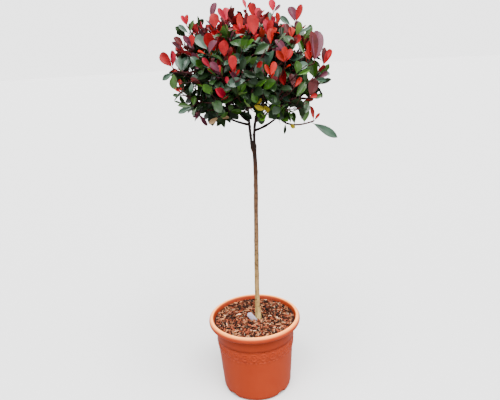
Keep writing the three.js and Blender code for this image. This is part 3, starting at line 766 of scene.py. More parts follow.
def plan_shoot(i):
    """Shoot number i: it turns by the golden angle and sinks from the crown's top to its hem."""
    rise = 1 - (i + 0.5) / SHOOT_COUNT * (1 - LOWEST_RISE)
    out = heading(i * GOLDEN_ANGLE) * math.sqrt(1 - rise * rise)
    out.z = rise
    leaf_length = between(SHOOT_LEAF_LENGTH, chance(i, 2))
    held_back = TOP_HELD_BACK["back" if out.y > 0.2 else "front"] * max(0, rise)
    reach = crown_reach(out) * (between(SHOOT_REACH, chance(i, 1)) - held_back)
    facing = out * SHOOT_OUTWARD
    facing.z += between(SHOOT_UPTURN, chance(i, 12))
    facing.normalize()
    tip = CROWN_MIDDLE + out * (reach - leaf_length * TUFT_ROOM[0]) - facing * leaf_length * TUFT_ROOM[1]
    return tip, facing


def stem_near(point):
    """The stem of the mass that a point lies in."""
    return min(masses, key=lambda mass: (mass["middle"] - point).length)["stem"]


def curve_to(foot, tip, facing):
    """A twig's curve: it leaves its foot and turns to face its own way at the tip."""
    before_tip, to_middle = TWIG_BEND
    bend = (tip - facing * before_tip * (tip - foot).length).lerp(foot.lerp(tip, 0.5), to_middle)
    return bezier(foot, bend, tip)


brown_twigs = []
red_twigs = []


def grow_twig(curve, radii, sides=6, steps=9):
    """A twig along a curve: its inner part in brown wood, its outer part in red."""
    for start, end, wood in ((0, RED_FROM, brown_twigs), (RED_FROM, 1, red_twigs)):
        shares = np.linspace(start, end, steps)
        wood.append(limb([curve(share) for share in shares],
                         [between(radii, share) for share in shares], sides))


# The leaves: leathery, glossy blades, widest past the middle, each on a short wine-red stalk.
# Young ones stand in upright tufts at the shoots' tips, scarlet to plum, and older ones spread
# and droop below them, green and waxy. Each piece is one tone, dealt out spray by spray.
LEAF_ROWS = np.array((0, 0.09, 0.22, 0.38, 0.55, 0.71, 0.85, 0.95))
YOUNG_WIDTHS = np.array((0.08, 0.3, 0.6, 0.86, 1.0, 0.97, 0.78, 0.43))
OLD_WIDTHS = np.array((0.07, 0.27, 0.58, 0.87, 1.0, 0.92, 0.64, 0.28))
ACROSS = np.array((-1, -0.5, 0, 0.5, 1, 0.5, 0, -0.5))
LAYER = np.array((0, 1, 1, 1, 0, -1, -1, -1))
LEAF_THICKNESS = 0.5
LEAF_WAVES = 9
LEAST_CURL = 1e-3
# Tones: upper face, under face, roughness of the waxy upper face, and weight of its clear wax.
TONES = {
    # shaded_green is a dark copy of the green leaves, painted shade for leaves deep in the crown and low
    # down. The under faces of shaded_green, deep_green and waxed_green are painted darker than the real pale
    # undersides, as painted shade.
    "shaded_green": ("#0F1C0C", "#182111", 0.5, 0.07),
    "deep_green": ("#1B3213", "#22341A", 0.38, 0.17),
    "mid_green": ("#24400C", "#34501C", 0.38, 0.16),
    "fresh_green": ("#335613", "#4C6428", 0.42, 0.16),
    "waxed_green": ("#2C4233", "#364A34", 0.32, 0.16),
    "olive": ("#AC9626", "#9A8A30", 0.45, 0),
    "scarlet": ("#7C060C", "#721016", 0.45, 0),
    "vermilion": ("#821006", "#76180A", 0.45, 0),
    "crimson": ("#901228", "#7C3034", 0.42, 0),
    "burgundy": ("#3E0709", "#3E0C0A", 0.38, 0),
    "plum": ("#4A1F2C", "#583038", 0.36, 0),
    "russet": ("#947858", "#987E62", 0.6, 0),
}
# Shares of the tones: each takes the draws up to its limit.
OLD_TONES = (
    (0.44, "shaded_green"), (0.84, "deep_green"), (1.08, "waxed_green"), (1.34, "mid_green"),
    (1.4, "fresh_green"), (9, "olive"),
)
YOUNG_REDS = ((0.4, "scarlet"), (0.6, "vermilion"), (0.82, "crimson"), (0.91, "burgundy"), (1.01, "plum"))
YOUNG_GREENS = ((0.2, "fresh_green"), (0.5, "mid_green"), (1.1, "deep_green"))
# Single leaves of a tuft that come out in another tone, and how many do.
STRAY_TONES = {"scarlet": ("crimson", 0.25), "crimson": ("plum", 0.3)}
LEAST_RED = 0.1
HEM = 762
HEM_RISE = 26
HEM_RISE_RADIUS = 50
HEM_LIFT = 0.14
HEM_WANDER = 12
CAMERA_PLACE = Vector((5, -1280, 947))
# The sprays that show most from the front. Each row: where the shoot's tip is seen
# in the trunk's upright plane, across and up, and its leaves: lean from upright in degrees,
# length and width as seen, and tone. Blank lines part the crown's regions, from its top down.
YOUNG_SPRAYS = (
    (-125, 1010, (-25, 26, 13, "crimson"), (5, 25, 12, "scarlet")),
    (-118, 995, (0, 20, 10, "burgundy")),
    (-65, 1018, (15, 42, 19, "plum")),
    (-58, 998, (0, 36, 25, "scarlet")),
    (-30, 1015, (-28, 34, 14, "crimson"), (5, 32, 20, "crimson"), (22, 38, 6, "burgundy")),
    (3, 990, (0, 38, 15, "vermilion"), (-45, 22, 13, "scarlet"), (8, 20, 12, "crimson")),
    (20, 1040, (-14, 24, 9, "crimson"), (38, 20, 6, "burgundy")),
    (35, 1022, (2, 31, 20, "scarlet")),
    (36, 976, (-5, 50, 31, "scarlet")),
    (69, 980, (-8, 35, 15, "crimson"), (18, 33, 16, "scarlet")),
    (76, 954, (3, 40, 20, "vermilion")),
    (85, 1030, (-8, 29, 17, "crimson"), (45, 24, 8, "plum")),
    (93, 1004, (0, 25, 15, "vermilion")),
    (138, 1004, (-18, 38, 23, "plum"), (20, 42, 16, "scarlet")),
    (127, 968, (0, 26, 17, "vermilion"), (-22, 36, 18, "burgundy")),

    (-135, 962, (-45, 32, 17, "burgundy")),
    (-117, 960, (-35, 32, 17, "plum"), (2, 27, 18, "scarlet")),
    (-169, 914, (-35, 43, 26, "scarlet"), (4, 40, 18, "crimson")),
    (171, 914, (-15, 24, 18, "vermilion"), (0, 45, 14, "scarlet")),
    (182, 908, (12, 76, 34, "plum"), (-2, 72, 26, "burgundy")),
    (204, 900, (28, 42, 19, "scarlet"), (6, 42, 14, "burgundy")),

    (-38, 931, (0, 40, 26, "scarlet")),
    (-20, 897, (0, 37, 22, "scarlet")),
    (-52, 896, (-40, 33, 17, "plum"), (-5, 18, 9, "scarlet")),
    (-75, 908, (-35, 30, 14, "crimson"), (20, 26, 12, "burgundy")),
    (72, 881, (20, 35, 17, "vermilion"), (-22, 30, 12, "vermilion")),
    (110, 912, (-35, 34, 17, "vermilion"), (0, 37, 16, "vermilion"), (30, 34, 17, "scarlet")),

    (-153, 853, (-3, 32, 10, "vermilion"), (-50, 18, 10, "scarlet")),
    (-115, 800, (148, 38, 11, "plum")),
    (-37, 866, (0, 19, 11, "crimson")),
    (106, 854, (-3, 40, 26, "scarlet")),
    (130, 850, (-8, 34, 18, "burgundy"), (40, 30, 14, "vermilion")),
    (168, 825, (22, 46, 27, "burgundy"), (80, 20, 12, "scarlet")),
    (193, 871, (60, 25, 14, "plum")),
)
OLD_SPRAYS = (
    (-121, 992, (-50, 33, 12, "waxed_green"), (22, 32, 11, "mid_green")),
    (-77, 950, (-38, 48, 27, "waxed_green")),
    (77, 1010, (0, 22, 11, "waxed_green")),
    (127, 998, (-45, 33, 14, "waxed_green")),
    (145, 978, (65, 34, 9, "waxed_green")),
    (160, 926, (-18, 40, 15, "mid_green"), (-100, 36, 18, "waxed_green")),

    (-167, 903, (-120, 32, 15, "waxed_green"), (178, 40, 27, "mid_green")),
    (-146, 903, (-12, 34, 24, "waxed_green"), (22, 37, 21, "waxed_green")),
    (-116, 882, (70, 36, 14, "deep_green")),
    (30, 934, (62, 45, 24, "deep_green"), (-130, 30, 17, "mid_green")),
    (86, 947, (-145, 47, 24, "waxed_green")),
    (137, 880, (5, 34, 25, "mid_green"), (72, 36, 14, "fresh_green")),
    (182, 868, (0, 44, 34, "mid_green"), (98, 28, 14, "waxed_green")),
    (206, 882, (30, 24, 12, "mid_green")),

    (-155, 846, (-85, 20, 9, "deep_green")),
    (-126, 818, (-112, 40, 15, "waxed_green"), (-84, 38, 13, "mid_green"), (15, 25, 16, "fresh_green")),
    # The shaded_green leaves in these rows are painted shade, put where the crown is dark inside.
    (-90, 806, (10, 34, 22, "shaded_green"), (150, 26, 15, "shaded_green")),
    (2, 895, (15, 32, 20, "shaded_green"), (110, 34, 19, "shaded_green")),
    (-62, 788, (-120, 31, 14, "russet"), (100, 24, 11, "russet")),
    (-36, 800, (92, 31, 15, "fresh_green"), (25, 17, 14, "fresh_green"), (-120, 24, 11, "fresh_green")),
    (-28, 852, (-95, 21, 12, "fresh_green")),
    (5, 870, (112, 28, 12, "mid_green")),
    (67, 875, (-120, 38, 16, "fresh_green")),
    (23, 846, (152, 29, 19, "fresh_green")),
    (25, 812, (110, 27, 13, "olive"), (60, 26, 13, "olive")),
    (50, 811, (135, 23, 12, "olive")),
    (122, 813, (-50, 31, 14, "waxed_green")),
    (133, 824, (35, 46, 23, "mid_green")),
    (178, 821, (70, 23, 13, "mid_green")),
)
# Sky that shows through the crown from the front: across, up, and radius.
SKY_GAPS = (
    (-125, 905, 4), (-115, 862, 5), (-145, 842, 8), (-110, 828, 4), (-97, 800, 6), (-50, 817, 7),
    (50, 849, 5), (65, 815, 11), (10, 800, 5), (28, 792, 9), (-3, 775, 6), (34, 767, 6), (137, 945, 7),
    (165, 888, 7), (170, 872, 7), (125, 825, 5), (155, 823, 11), (120, 800, 10), (140, 781, 13),
    (175, 808, 9),
)
# How far in front of the trunk those sprays stand: furthest at the crown's middle height, and
# falling back to nothing over these heights above and below it, and towards the sides.
FRONT_DEPTH = 180
FRONT_FALLS_UP = 120
FRONT_FALLS_DOWN = 300
FRONT_ROUNDNESS = 1.7
FRONT_TURN = (-0.5, 0.5)
FRONT_TWIG_RADII = (1.8, 1.3)
FRONT_TWIG_FROM_STEM = (0.35, 0.95)
FRONT_TWIG_OUTWARD = 0.6
# A curled, folded blade looks smaller than it is, so these leaves are cut a little larger.
FRONT_FULLNESS = 1.08
FRONT_LENGTHENING = 1.06
GLOSSY_TILT = (0.3, 0.52)
PLAIN_TILT = (0.0, 0.4)
# How far other leaves keep off, as shares of a gap's radius and of the two leaves' widths, and
# how far behind a front leaf they may pass.
GAP_CLEARANCE = 0.65
FRONT_CLEARANCE = 0.36
OWN_CLEARANCE = 0.18
CLEAR_BEHIND = 8
# The points along a leaf that are tested, as shares of its length.
FRONT_LEAF_POINTS = (0.25, 0.6, 0.9)
LEAF_POINTS = (0.3, 0.6, 0.85)
# A leaf's reach as a share of the crown's outline, and how much less it is straight above.
LEAF_REACH = (0.9, 0.3)
# Older leaves are dealt darker tones inside the crown and low down, and lighter ones towards its
# outside and top, as painted shade and painted light. The share of tufts that come out red is
# given for the crown's middle height, with what it gains by the top.
PAINTED_LIGHT_OUTWARD = 0.4
PAINTED_LIGHT_UPWARD = 0.5
PAINTED_LIGHT_FROM = 0.6
RED_TUFTS = (0.45, 0.95)
leaves = {tone: [] for tone in TONES}
stalks = []


def hem_at(point):
    """The lowest level that leaves reach: it rises by the trunk and to the front, and wanders."""
    from_axis = math.hypot(point.x - CROWN_MIDDLE.x, point.y - CROWN_MIDDLE.y)
    rise = HEM_RISE * math.exp(-(from_axis / HEM_RISE_RADIUS) ** 2)
    return HEM + rise + HEM_LIFT * abs(point.y) + HEM_WANDER * noise.noise(Vector((point.x, point.y, 0)) / 40)


def seen_at(point):
    """Where the sight line through a point meets the upright plane of the trunk: across and up."""
    nearer = CAMERA_PLACE.y / (CAMERA_PLACE.y - point.y)
    return (CAMERA_PLACE.x + (point.x - CAMERA_PLACE.x) * nearer,
            CAMERA_PLACE.z + (point.z - CAMERA_PLACE.z) * nearer)


def front_place(across, up):
    """Where a spray seen at a place stands: on its sight line, at the crown's front there. The
    second value is the real size there of what looks 1 mm long in the trunk's plane."""
    aside = ((across - CROWN_MIDDLE.x) / CROWN_WIDE) ** 2
    height = up - CROWN_MIDDLE.z
    falls = height / FRONT_FALLS_UP if height > 0 else -height / FRONT_FALLS_DOWN
    depth = -FRONT_DEPTH * max(0, 1 - aside) ** FRONT_ROUNDNESS * max(0, 1 - falls)
    scale = 1 - depth / CAMERA_PLACE.y
    return Vector((CAMERA_PLACE.x + (across - CAMERA_PLACE.x) * scale, depth,
                   CAMERA_PLACE.z + (up - CAMERA_PLACE.z) * scale)), scale


def front_pose(lean, tone, key):
    """A front leaf's axis and upper face. Its axis is as long as it takes to look 1 long."""
    up = between(GLOSSY_TILT if tone == "waxed_green" else PLAIN_TILT, chance(key, 41))
    aside = between(FRONT_TURN, chance(key, 42))
    normal = Vector((math.sin(aside) * math.cos(up), -math.cos(aside) * math.cos(up), math.sin(up)))
    axis = Vector((math.sin(math.radians(lean)), 0, math.cos(math.radians(lean))))
    axis.y = -axis.dot(normal) / normal.y
    return axis, normal


# What leaves keep clear of: across, up and radius as seen, and the depth that they stay behind.
clear_places = [(across, up, GAP_CLEARANCE * radius, CROWN_WIDE) for across, up, radius in SKY_GAPS]
front_sprays = []
for row, (across, up, *leaves_there) in enumerate(YOUNG_SPRAYS + OLD_SPRAYS):
    place, scale = front_place(across, up)
    spray = []
    for j, (lean, seen_length, seen_width, tone) in enumerate(leaves_there):
        key = 6000 + 5 * row + j
        length, width = seen_length * scale, seen_width * scale
        axis, normal = front_pose(lean, tone, key)
        spray.append((key, axis, normal, length, width, tone))
        for share in FRONT_LEAF_POINTS:
            point = place + axis * length * share
            clear_places.append((*seen_at(point), FRONT_CLEARANCE * width, point.y + CLEAR_BEHIND))
    front_sprays.append((3000 + row, place, int(row < len(YOUNG_SPRAYS)), spray))
clear_places = np.array(clear_places)


def stands_clear(root, axis, length, width):
    """True if a leaf closes no gap of sky and hangs before no front leaf."""
    for share in LEAF_POINTS:
        point = root + axis * length * share
        across, up = seen_at(point)
        apart = np.hypot(clear_places[:, 0] - across, clear_places[:, 1] - up)
        if np.any((apart < clear_places[:, 2] + OWN_CLEARANCE * width) & (clear_places[:, 3] > point.y)):
            return False
    return True


def in_crown(root, axis, normal, length, curl):
    """True if a leaf keeps to the crown: inside its outline, and above its hem."""
    tip = root + axis * length * 0.95 - normal * length * curl * 0.45
    offset = tip - CROWN_MIDDLE
    way = offset.normalized()
    highest = LEAF_REACH[0] - LEAF_REACH[1] * way.z if way.z > 0 else 1.0
    return offset.length < highest * crown_reach(way) and tip.z > hem_at(tip)


def dealt(tones, draw):
    """The tone that a draw falls on."""
    return next(tone for limit, tone in tones if draw < limit)


def old_tone(key, root):
    """Older leaves: dealt darker tones inside the crown and low down, and glossier, lighter ones high
    outside, as painted shade and painted light.
    """
    offset = root - CROWN_MIDDLE
    outward = offset.length / crown_reach(offset.normalized())
    upward = offset.z / CROWN_UP
    # Painted shade and light: the draw moves to darker tones inside and low, lighter ones outside and high.
    lighter = PAINTED_LIGHT_OUTWARD * (outward - PAINTED_LIGHT_FROM)
    return dealt(OLD_TONES, chance(key, 11) + lighter + PAINTED_LIGHT_UPWARD * upward)


def tuft_tone(number, tip):
    """Young tufts flush red most of all on the crown's top, and come out green otherwise."""
    red_share = max(LEAST_RED, RED_TUFTS[0] + RED_TUFTS[1] * (tip.z - CROWN_MIDDLE.z) / CROWN_UP)
    return dealt(YOUNG_REDS if chance(number, 4) < red_share else YOUNG_GREENS, chance(number, 5))


# How leaves grow, each value between two limits: degrees that they open from their shoot, length,
# width as a share of it, fold along the midrib and curl towards the tip. A tuft's lengths are
# shares of its own length. The stalk is a share of the leaf's length.
TUFT_HABIT = {
    "opened": (8, 36), "length": (0.72, 1.12), "width": (0.46, 0.62), "fold": (0.3, 0.6),
    "curl": (0.15, -0.35), "stalk": 0.13,
}
SIDE_HABIT = {
    "opened": (40, 78), "length": (32, 52), "width": (0.44, 0.58), "fold": (0.2, 0.55),
    "curl": (0.15, 0.75), "stalk": 0.17,
}
FRONT_HABIT = {"fold": (0.3, 0.7), "curl": (-0.1, 0.25), "stalk": 0.1}
TUFT_SPREAD = 6
TUFT_STEP = 0.03
SIDE_LEAF_JITTER = 0.6
SIDE_LEAF_ROLL = 200
SIDE_LEAF_FACES_UP = 0.8
DARK_RED_CHANCE = 0.35
LEAF_TURN = 137.5
TWIST = (-0.25, 0.25)
WAVE = (-0.015, 0.035)
WAVE_TURN = 6.28
DROOP = (0.05, 0.4)
STALK_SHARES = (0, 0.35, 0.7, 1)
STALK_RADII = (0.9, 0.75, 0.7, 0.45)
STALK_SAG = 0.12
STALK_INTO_BLADE = 1.5


def leaf_form(habit, key, scale=1):
    """A leaf's length, width, fold and curl, by chance between its habit's limits."""
    length = scale * between(habit["length"], chance(key, 7))
    return (length, length * between(habit["width"], chance(key, 16)),
            between(habit["fold"], chance(key, 17)), between(habit["curl"], chance(key, 18)))


def leaf_pose(along, roll, opened):
    """A leaf's axis and upper face, turned about a shoot and opened from it by degrees."""
    reference = Vector((1, 0, 0)) if abs(along.z) > 0.9 else Vector((0, 0, 1))
    first = along.cross(reference).normalized()
    second = along.cross(first)
    side = first * math.cos(math.radians(roll)) + second * math.sin(math.radians(roll))
    opened = math.radians(opened)
    axis = along * math.cos(opened) + side * math.sin(opened)
    return axis, (along - axis * along.dot(axis)).normalized()


def add_leaf(tone, root, axis, normal, form, key, stalk_share, youth):
    """A leaf on its stalk, kept for its tone's piece."""
    length, width, fold, curl = form
    start = root + axis * length * stalk_share
    sag = normal * -STALK_SAG * length * stalk_share
    stalk = bezier(root, root.lerp(start, 0.5) + sag, start + axis * STALK_INTO_BLADE)
    stalks.append(limb([stalk(share) for share in STALK_SHARES], STALK_RADII, 5))
    blade_length = length * (1 - stalk_share)
    leaves[tone].append((tuple(start), tuple(axis), tuple(normal), blade_length, width, fold, curl,
                         between(TWIST, chance(key, 31)), between(WAVE, chance(key, 32)),
                         WAVE_TURN * chance(key, 33), youth))


def grow_tuft(curve, facing, number, tone, count, length, start=1.0):
    """Young leaves at a shoot's tip, upright and cupped towards it."""
    for j in range(count):
        key = number * 31 + j
        opened = between(TUFT_HABIT["opened"], chance(key, 6)) + TUFT_SPREAD * j
        axis, normal = leaf_pose(facing, LEAF_TURN * j + 360 * chance(number, 9), opened)
        form = leaf_form(TUFT_HABIT, key, length)
        stray, share = STRAY_TONES.get(tone, (tone, 0))
        root = curve(start - TUFT_STEP * j)
        if stands_clear(root, axis, *form[:2]):
            tone_here = stray if chance(key, 15) < share else tone
            add_leaf(tone_here, root, axis, normal, form, key, TUFT_HABIT["stalk"], 1)


def way_along(curve, share):
    """The direction of a curve at a share of it."""
    return (curve(share + 0.02) - curve(share - 0.02)).normalized()


def grow_side_leaves(curve, number, count, first, spacing, tuft_is_red):
    """Older leaves along a shoot: spread, drooping, folded a little and curled back at the tip.
    Under a red tuft, the first may still be dark red."""
    for j in range(count):
        key = number * 31 + 11 + j
        share = max(0.05, first - spacing * (j + SIDE_LEAF_JITTER * chance(key, 8)))
        roll = LEAF_TURN * j + 360 * chance(number, 9) + SIDE_LEAF_ROLL
        axis, normal = leaf_pose(way_along(curve, share), roll, between(SIDE_HABIT["opened"], chance(key, 6)))
        axis.z -= between(DROOP, chance(key, 19))
        axis.normalize()
        normal.z += SIDE_LEAF_FACES_UP
        normal = (normal - axis * normal.dot(axis)).normalized()
        form = leaf_form(SIDE_HABIT, key)
        root = curve(share)
        tone = old_tone(key, root)
        if tuft_is_red and j == 0 and chance(key, 14) < DARK_RED_CHANCE:
            tone = "burgundy" if chance(key, 20) < 0.6 else "plum"
        if stands_clear(root, axis, *form[:2]) and in_crown(root, axis, normal, form[0], form[3]):
            add_leaf(tone, root, axis, normal, form, key, SIDE_HABIT["stalk"], 0)


# Side leaves: how many, the first one's share along the twig, and the share between them. Tufts:
# the fewest leaves, how many more by chance, and their length.
SHOOT_LEAVES = (7, 0.9, 0.1)
HIGH_SHOOT_LEAVES = (7, 0.76, 0.1)
SIDE_TWIG_LEAVES = (3, 0.86, 0.24)
FRONT_TWIG_LEAVES = (4, 0.75, 0.16)
SHOOT_TUFT = (3, 2.4, 40)
SIDE_TWIG_TUFT = (2, 1.6, 34)
LARGE_TUFT = 1.2
LARGE_TUFT_CHANCE = 0.72
HIGH_SHOOT = 0.3
SIDE_TWIGS = 3
SIDE_TWIG_FIRST = 0.35
SIDE_TWIG_APART = 0.2
SIDE_TWIG_JITTER = 0.12
SIDE_TWIG_LENGTH = (34, 62)
SIDE_TWIG_RADII = (1.1, 0.8)
SIDE_TWIG_OPENED = 48
SIDE_TWIG_LIFT = 0.35
SIDE_TWIG_REACH = 0.86
TUFT_LIFT = 0.5
ABOVE_HEM = 16
# Behind a young front spray: how many leaves, their length, and where they start along its twig.
FRONT_TUFT = (4, 22, 0.9)


def grow_shoot(foot, tip, facing, number, radii, tuft, side_leaves, size=1.0, sides=6, steps=9):
    """A twig with a young tuft of a size at its tip, and older leaves along it. Gives its curve."""
    curve = curve_to(foot, tip, facing)
    grow_twig(curve, radii, sides, steps)
    tone = tuft_tone(number, tip)
    fewest, more, length = tuft
    grow_tuft(curve, facing, number, tone, fewest + int(more * chance(number, 22)), length * size)
    grow_side_leaves(curve, number, *side_leaves, "green" not in tone)
    return curve


for mass in masses:
    shares = np.linspace(-0.01, 1, 12)
    radii = (mass["foot_radius"], STEM_TIP_RADIUS)
    brown_twigs.append(limb([mass["stem"](share) for share in shares],
                            [between(radii, max(share, 0)) for share in shares], 8))

for i in range(SHOOT_COUNT):
    tip, facing = plan_shoot(i)
    foot = stem_near(tip)(between(SHOOT_FROM_STEM, chance(i, 3)))
    size = LARGE_TUFT if chance(i, 13) > LARGE_TUFT_CHANCE else 1.0
    high = tip.z > CROWN_MIDDLE.z + HIGH_SHOOT * CROWN_UP
    side_leaves = HIGH_SHOOT_LEAVES if high else SHOOT_LEAVES
    curve = grow_shoot(foot, tip, facing, i, SHOOT_RADII, SHOOT_TUFT, side_leaves, size)
    for k in range(SIDE_TWIGS):
        key = 1000 + i * 7 + k
        share = SIDE_TWIG_FIRST + SIDE_TWIG_APART * k + SIDE_TWIG_JITTER * chance(key, 3)
        out = leaf_pose(way_along(curve, share), GOLDEN_ANGLE * k + 360 * chance(i, 23), SIDE_TWIG_OPENED)[0]
        out.z += SIDE_TWIG_LIFT
        out.normalize()
        twig_foot = curve(share)
        twig_tip = twig_foot + out * between(SIDE_TWIG_LENGTH, chance(key, 2))
        offset = twig_tip - CROWN_MIDDLE
        limit = SIDE_TWIG_REACH * crown_reach(offset.normalized())
        if offset.length > limit:
            twig_tip = CROWN_MIDDLE + offset.normalized() * limit
        above_hem = twig_tip.z >= hem_at(twig_tip) + ABOVE_HEM
        if not (above_hem and stands_clear(twig_foot, twig_tip - twig_foot, 1, 0)):
            continue
        twig_facing = (out + Vector((0, 0, TUFT_LIFT))).normalized()
        grow_shoot(twig_foot, twig_tip, twig_facing, key, SIDE_TWIG_RADII, SIDE_TWIG_TUFT,
                   SIDE_TWIG_LEAVES, sides=5, steps=5)

for number, place, youth, spray in front_sprays:
    outward = (place - CROWN_MIDDLE).normalized()
    along_leaf = spray[0][1] * (1 - FRONT_TWIG_OUTWARD)
    facing = (along_leaf + outward * FRONT_TWIG_OUTWARD + Vector((0, 0, TUFT_LIFT * youth))).normalized()
    foot = stem_near(place)(between(FRONT_TWIG_FROM_STEM, chance(number, 3)))
    twig = curve_to(foot, place, facing)
    grow_twig(twig, FRONT_TWIG_RADII)
    grow_side_leaves(twig, number, *FRONT_TWIG_LEAVES, False)
    for key, axis, normal, length, width, tone in spray:
        form = (length * axis.length * FRONT_LENGTHENING, width * FRONT_FULLNESS,
                between(FRONT_HABIT["fold"], chance(key, 17)), between(FRONT_HABIT["curl"], chance(key, 18)))
        add_leaf(tone, place, axis.normalized(), normal, form, key, FRONT_HABIT["stalk"], youth)
    if youth and "green" not in spray[0][5]:
        grow_tuft(twig, facing, number, spray[0][5], *FRONT_TUFT)

# The sprig: one weak low shoot that hangs out of the crown on the right, with a long pale leaf
# past its end. Each leaf: place along it, lean from upright, length, width, tone and youth.
SPRIG_FOOT = 0.08
SPRIG_SAG = (112, -4, 744)
SPRIG_END = (179, -5, 766)
SPRIG_RADII = (2.6, 2.1)
SPRIG_FOLD = 0.25
SPRIG_CURL = 0.25
SPRIG_STALK = 0.12
SPRIG_LEAVES = (
    (0.93, 120, 80, 23, "waxed_green", 0), (0.99, -5, 38, 11, "vermilion", 1),
    (1.0, 35, 24, 8, "vermilion", 1), (0.8, 0, 46, 31, "fresh_green", 1),
    (0.57, -5, 36, 15, "mid_green", 0), (0.42, 125, 18, 11, "olive", 0),
    (0.29, 185, 30, 8, "shaded_green", 0), (0.33, -20, 24, 12, "waxed_green", 0),
)

low_right = next(mass for mass in masses if mass["name"] == "low_right")
sprig = bezier(low_right["stem"](SPRIG_FOOT), SPRIG_SAG, SPRIG_END)
grow_twig(sprig, SPRIG_RADII, 6, 14)
for i, (share, lean, length, width, tone, youth) in enumerate(SPRIG_LEAVES):
    axis, normal = front_pose(lean, tone, 4000 + i)
    form = (length, width, SPRIG_FOLD, SPRIG_CURL)
    add_leaf(tone, sprig(share), axis.normalized(), normal, form, 4000 + i, SPRIG_STALK, youth)


# The crown's pieces: all leaves of one tone are one piece, cut from the same two outlines with an
# upper and an under face, and the twigs and stalks are joined by the colour of their bark.
def blades(rows):
    """Points, faces and face slots of many leaves: a folded, curled lens for each row of values."""
    columns = list(zip(*rows))
    start, axis, normal = (np.array(column) for column in columns[:3])
    length, width, fold, curl, twist, wave, phase, youth = (
        np.array(column)[:, None, None] for column in columns[3:])
    side = np.cross(normal, axis)
    share = LEAF_ROWS[None, :, None]
    fullness = youth * YOUNG_WIDTHS[None, :, None] + (1 - youth) * OLD_WIDTHS[None, :, None]
    half = width / 2 * fullness
    bend = curl * share
    round_curl = np.where(np.abs(curl) < LEAST_CURL, LEAST_CURL, curl)
    forward = length * np.sin(round_curl * share) / round_curl
    back = -length * (1 - np.cos(round_curl * share)) / round_curl
    lift = half * np.abs(ACROSS) * np.sin(fold) + LAYER * LEAF_THICKNESS / 2
    lift = lift + wave * width * np.abs(ACROSS) * np.sin(LEAF_WAVES * share + phase + ACROSS)
    over = half * ACROSS * np.cos(fold)
    turn = twist * share
    over, lift = over * np.cos(turn) - lift * np.sin(turn), over * np.sin(turn) + lift * np.cos(turn)
    forward = forward + lift * np.sin(bend)
    upward = back + lift * np.cos(bend)
    rings = (start[:, None, None] + forward[..., None] * axis[:, None, None]
             + over[..., None] * side[:, None, None] + upward[..., None] * normal[:, None, None])
    sweep = round_curl[:, 0, 0]
    tips = (start + axis * (length[:, 0, 0] * np.sin(sweep) / sweep)[:, None]
            - normal * (length[:, 0, 0] * (1 - np.cos(sweep)) / sweep)[:, None])
    points = np.concatenate((rings.reshape(len(rows), -1, 3), tips[:, None]), 1)
    ring_size = len(ACROSS)
    last = (len(LEAF_ROWS) - 1) * ring_size
    leaf_faces = [tuple(range(ring_size))]
    leaf_slots = [1]
    for k in range(ring_size):
        n = (k + 1) % ring_size
        leaf_faces += [(i + k, i + ring_size + k, i + ring_size + n, i + n)
                       for i in range(0, last, ring_size)]
        leaf_faces.append((last + k, last + ring_size, last + n))
        leaf_slots += [int(k >= ring_size // 2)] * len(LEAF_ROWS)
    size = points.shape[1]
    faces = [tuple(corner + first for corner in face)
             for first in range(0, len(rows) * size, size) for face in leaf_faces]
    return points.reshape(-1, 3), faces, leaf_slots * len(rows)


def waxy_leaf(add, place, hex_colour, roughness, wax, specular):
    """A leathery leaf: the upper face has a clear wax cuticle that gives a pale, broad gloss, and
    the under face is matt. Both turn lighter and darker every 22 mm, about a leaf's width, and
    are puckered between veins every 4 mm, coarser than the real 2 mm so that it shows."""
    mottle = add("TexNoise", {"Vector": place, "Scale": per_metre(22), "Detail": 3})
    colour = shaded(add, linear(hex_colour), mottle, (0.3, 0.7), (0.68, 1.36))
    veins = add("TexNoise", {"Vector": place, "Scale": per_metre(4), "Detail": 1})
    bump = add("Bump", {"Height": veins, "Distance": 0.5 * MM, "Strength": 0.6})
    return {"Base Color": colour, "Normal": bump, "Roughness": roughness, "IOR": 1.45,
            "Specular IOR Level": specular, "Coat Weight": wax, "Coat Roughness": 0.22}


foliage_nodes = [f"foliage_{mass['name']}" for mass in masses]
for tone, rows in leaves.items():
    upper, under, roughness, wax = TONES[tone]
    specular = 0.09 if "shaded" in tone else 0.15
    faces_of_leaf = [make_material(f"leaf_{tone}", waxy_leaf, upper, roughness, wax, specular),
                     make_material(f"leaf_{tone}_under", waxy_leaf, under, 0.6, 0, specular)]
    points, faces, face_slots = blades(rows)
    make_piece(f"leaves_{tone}", (points, faces), faces_of_leaf, foliage_nodes, face_slots, 75)

red_bark = make_material("red_shoot_bark", young_bark, 2, 0.6, "#220C0C", "#3A1012")
for name, shapes, bark in (("brown_twigs", brown_twigs, bough_bark), ("red_twigs", red_twigs, red_bark),
                           ("leaf_stalks", stalks, red_bark)):
    make_piece(name, joined(shapes), [bark], foliage_nodes, sharp_over=80)

# The studio: a pale matt floor that runs out of sight, an even white sky and four large soft
# lights. The camera stands in front at the height of the crown and looks down on the pot.
FLOOR_RADIUS = 30
FLOOR_SIDES = 96
CAMERA_PITCH = -16.7
CAMERA_ROLL = -3.04
CAMERA_LENS = 36
# Each light: height and bearing in degrees, how far it spreads, and its strength.
SOFTBOXES = {
    "overhead_softbox": (68, 8, 50, 11.5),
    "left_softbox": (24, -55, 60, 2.2),
    "right_softbox": (24, 60, 60, 2.7),
    "back_softbox": (30, 185, 60, 3.0),
}
# The sky's strength where it lights the plant, from low down to high up, and as it is seen.
SKY_LOW, SKY_HIGH = 0.7, 0.4
SKY_SHOWN = 3.1


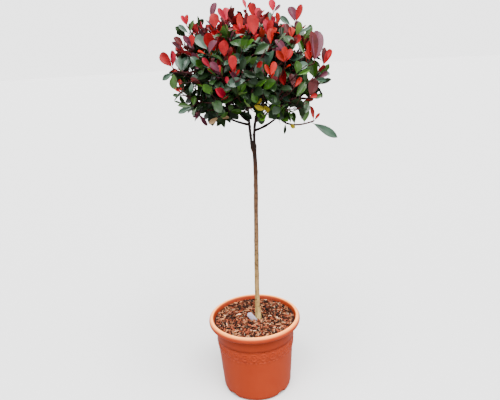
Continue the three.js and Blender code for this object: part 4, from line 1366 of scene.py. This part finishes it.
def matt_floor(add, place):
    """Matt painted board: pale, with a barely seen unevenness every 300 mm. It shows near white
    but throws back only as much light as a grey one, so that the plant keeps its own shade."""
    cloud = add("TexNoise", {"Vector": place, "Scale": per_metre(300)})
    thrown = add("Mix", {"Factor": cloud, "A": linear("#6C6C6C"), "B": linear("#707070")}, data_type="RGBA")
    is_shown = add("LightPath", gives="Is Camera Ray")
    colour = add("Mix", {"Factor": is_shown, "A": thrown, "B": linear("#D0D0D0")}, data_type="RGBA")
    return {"Base Color": colour, "Roughness": 0.9}


floor_mesh = bpy.data.meshes.new("floor")
floor_mesh.from_pydata([(FLOOR_RADIUS * math.cos(angle), FLOOR_RADIUS * math.sin(angle), 0)
                        for angle in np.linspace(0, 2 * math.pi, FLOOR_SIDES, endpoint=False)],
                       [], [tuple(range(FLOOR_SIDES))])
floor_mesh.materials.append(make_material("pale_matt_floor", matt_floor))
floor = bpy.data.objects.new("floor", floor_mesh)
bpy.context.collection.objects.link(floor)

for name, (height, bearing, spread, strength) in SOFTBOXES.items():
    light = bpy.data.lights.new(name, "SUN")
    light.energy = strength
    light.angle = math.radians(spread)
    lamp = bpy.data.objects.new(name, light)
    height = math.radians(height)
    from_light = -(heading(bearing) * math.cos(height) + Vector((0, 0, math.sin(height))))
    lamp.rotation_euler = from_light.to_track_quat("-Z", "Y").to_euler()
    bpy.context.collection.objects.link(lamp)

world = bpy.data.worlds.new("white_sky")
world.use_nodes = True
add = partial(add_node, world.node_tree)
upward = add("SeparateXYZ", {"Vector": add("TexCoord", gives="Generated")}, gives="Z")
thrown = add("MapRange", {
    "Value": upward, "From Min": 0.12, "From Max": 0.22, "To Min": SKY_LOW, "To Max": SKY_HIGH,
})
is_thrown = add("LightPath", gives="Is Diffuse Ray")
strength = add("Mix", {"Factor": is_thrown, "A": SKY_SHOWN, "B": thrown})
plug(world.node_tree.nodes["Background"], {"Color": (1, 1, 1, 1), "Strength": strength})
bpy.context.scene.world = world

camera = bpy.data.objects.new("camera", bpy.data.cameras.new("camera"))
camera.data.sensor_width = 36
camera.data.lens = CAMERA_LENS
camera.matrix_world = (Matrix.Translation(CAMERA_PLACE * MM)
                       @ Matrix.Rotation(math.radians(90 + CAMERA_PITCH), 4, "X")
                       @ Matrix.Rotation(math.radians(CAMERA_ROLL), 4, "Z"))
bpy.context.collection.objects.link(camera)
bpy.context.scene.camera = camera
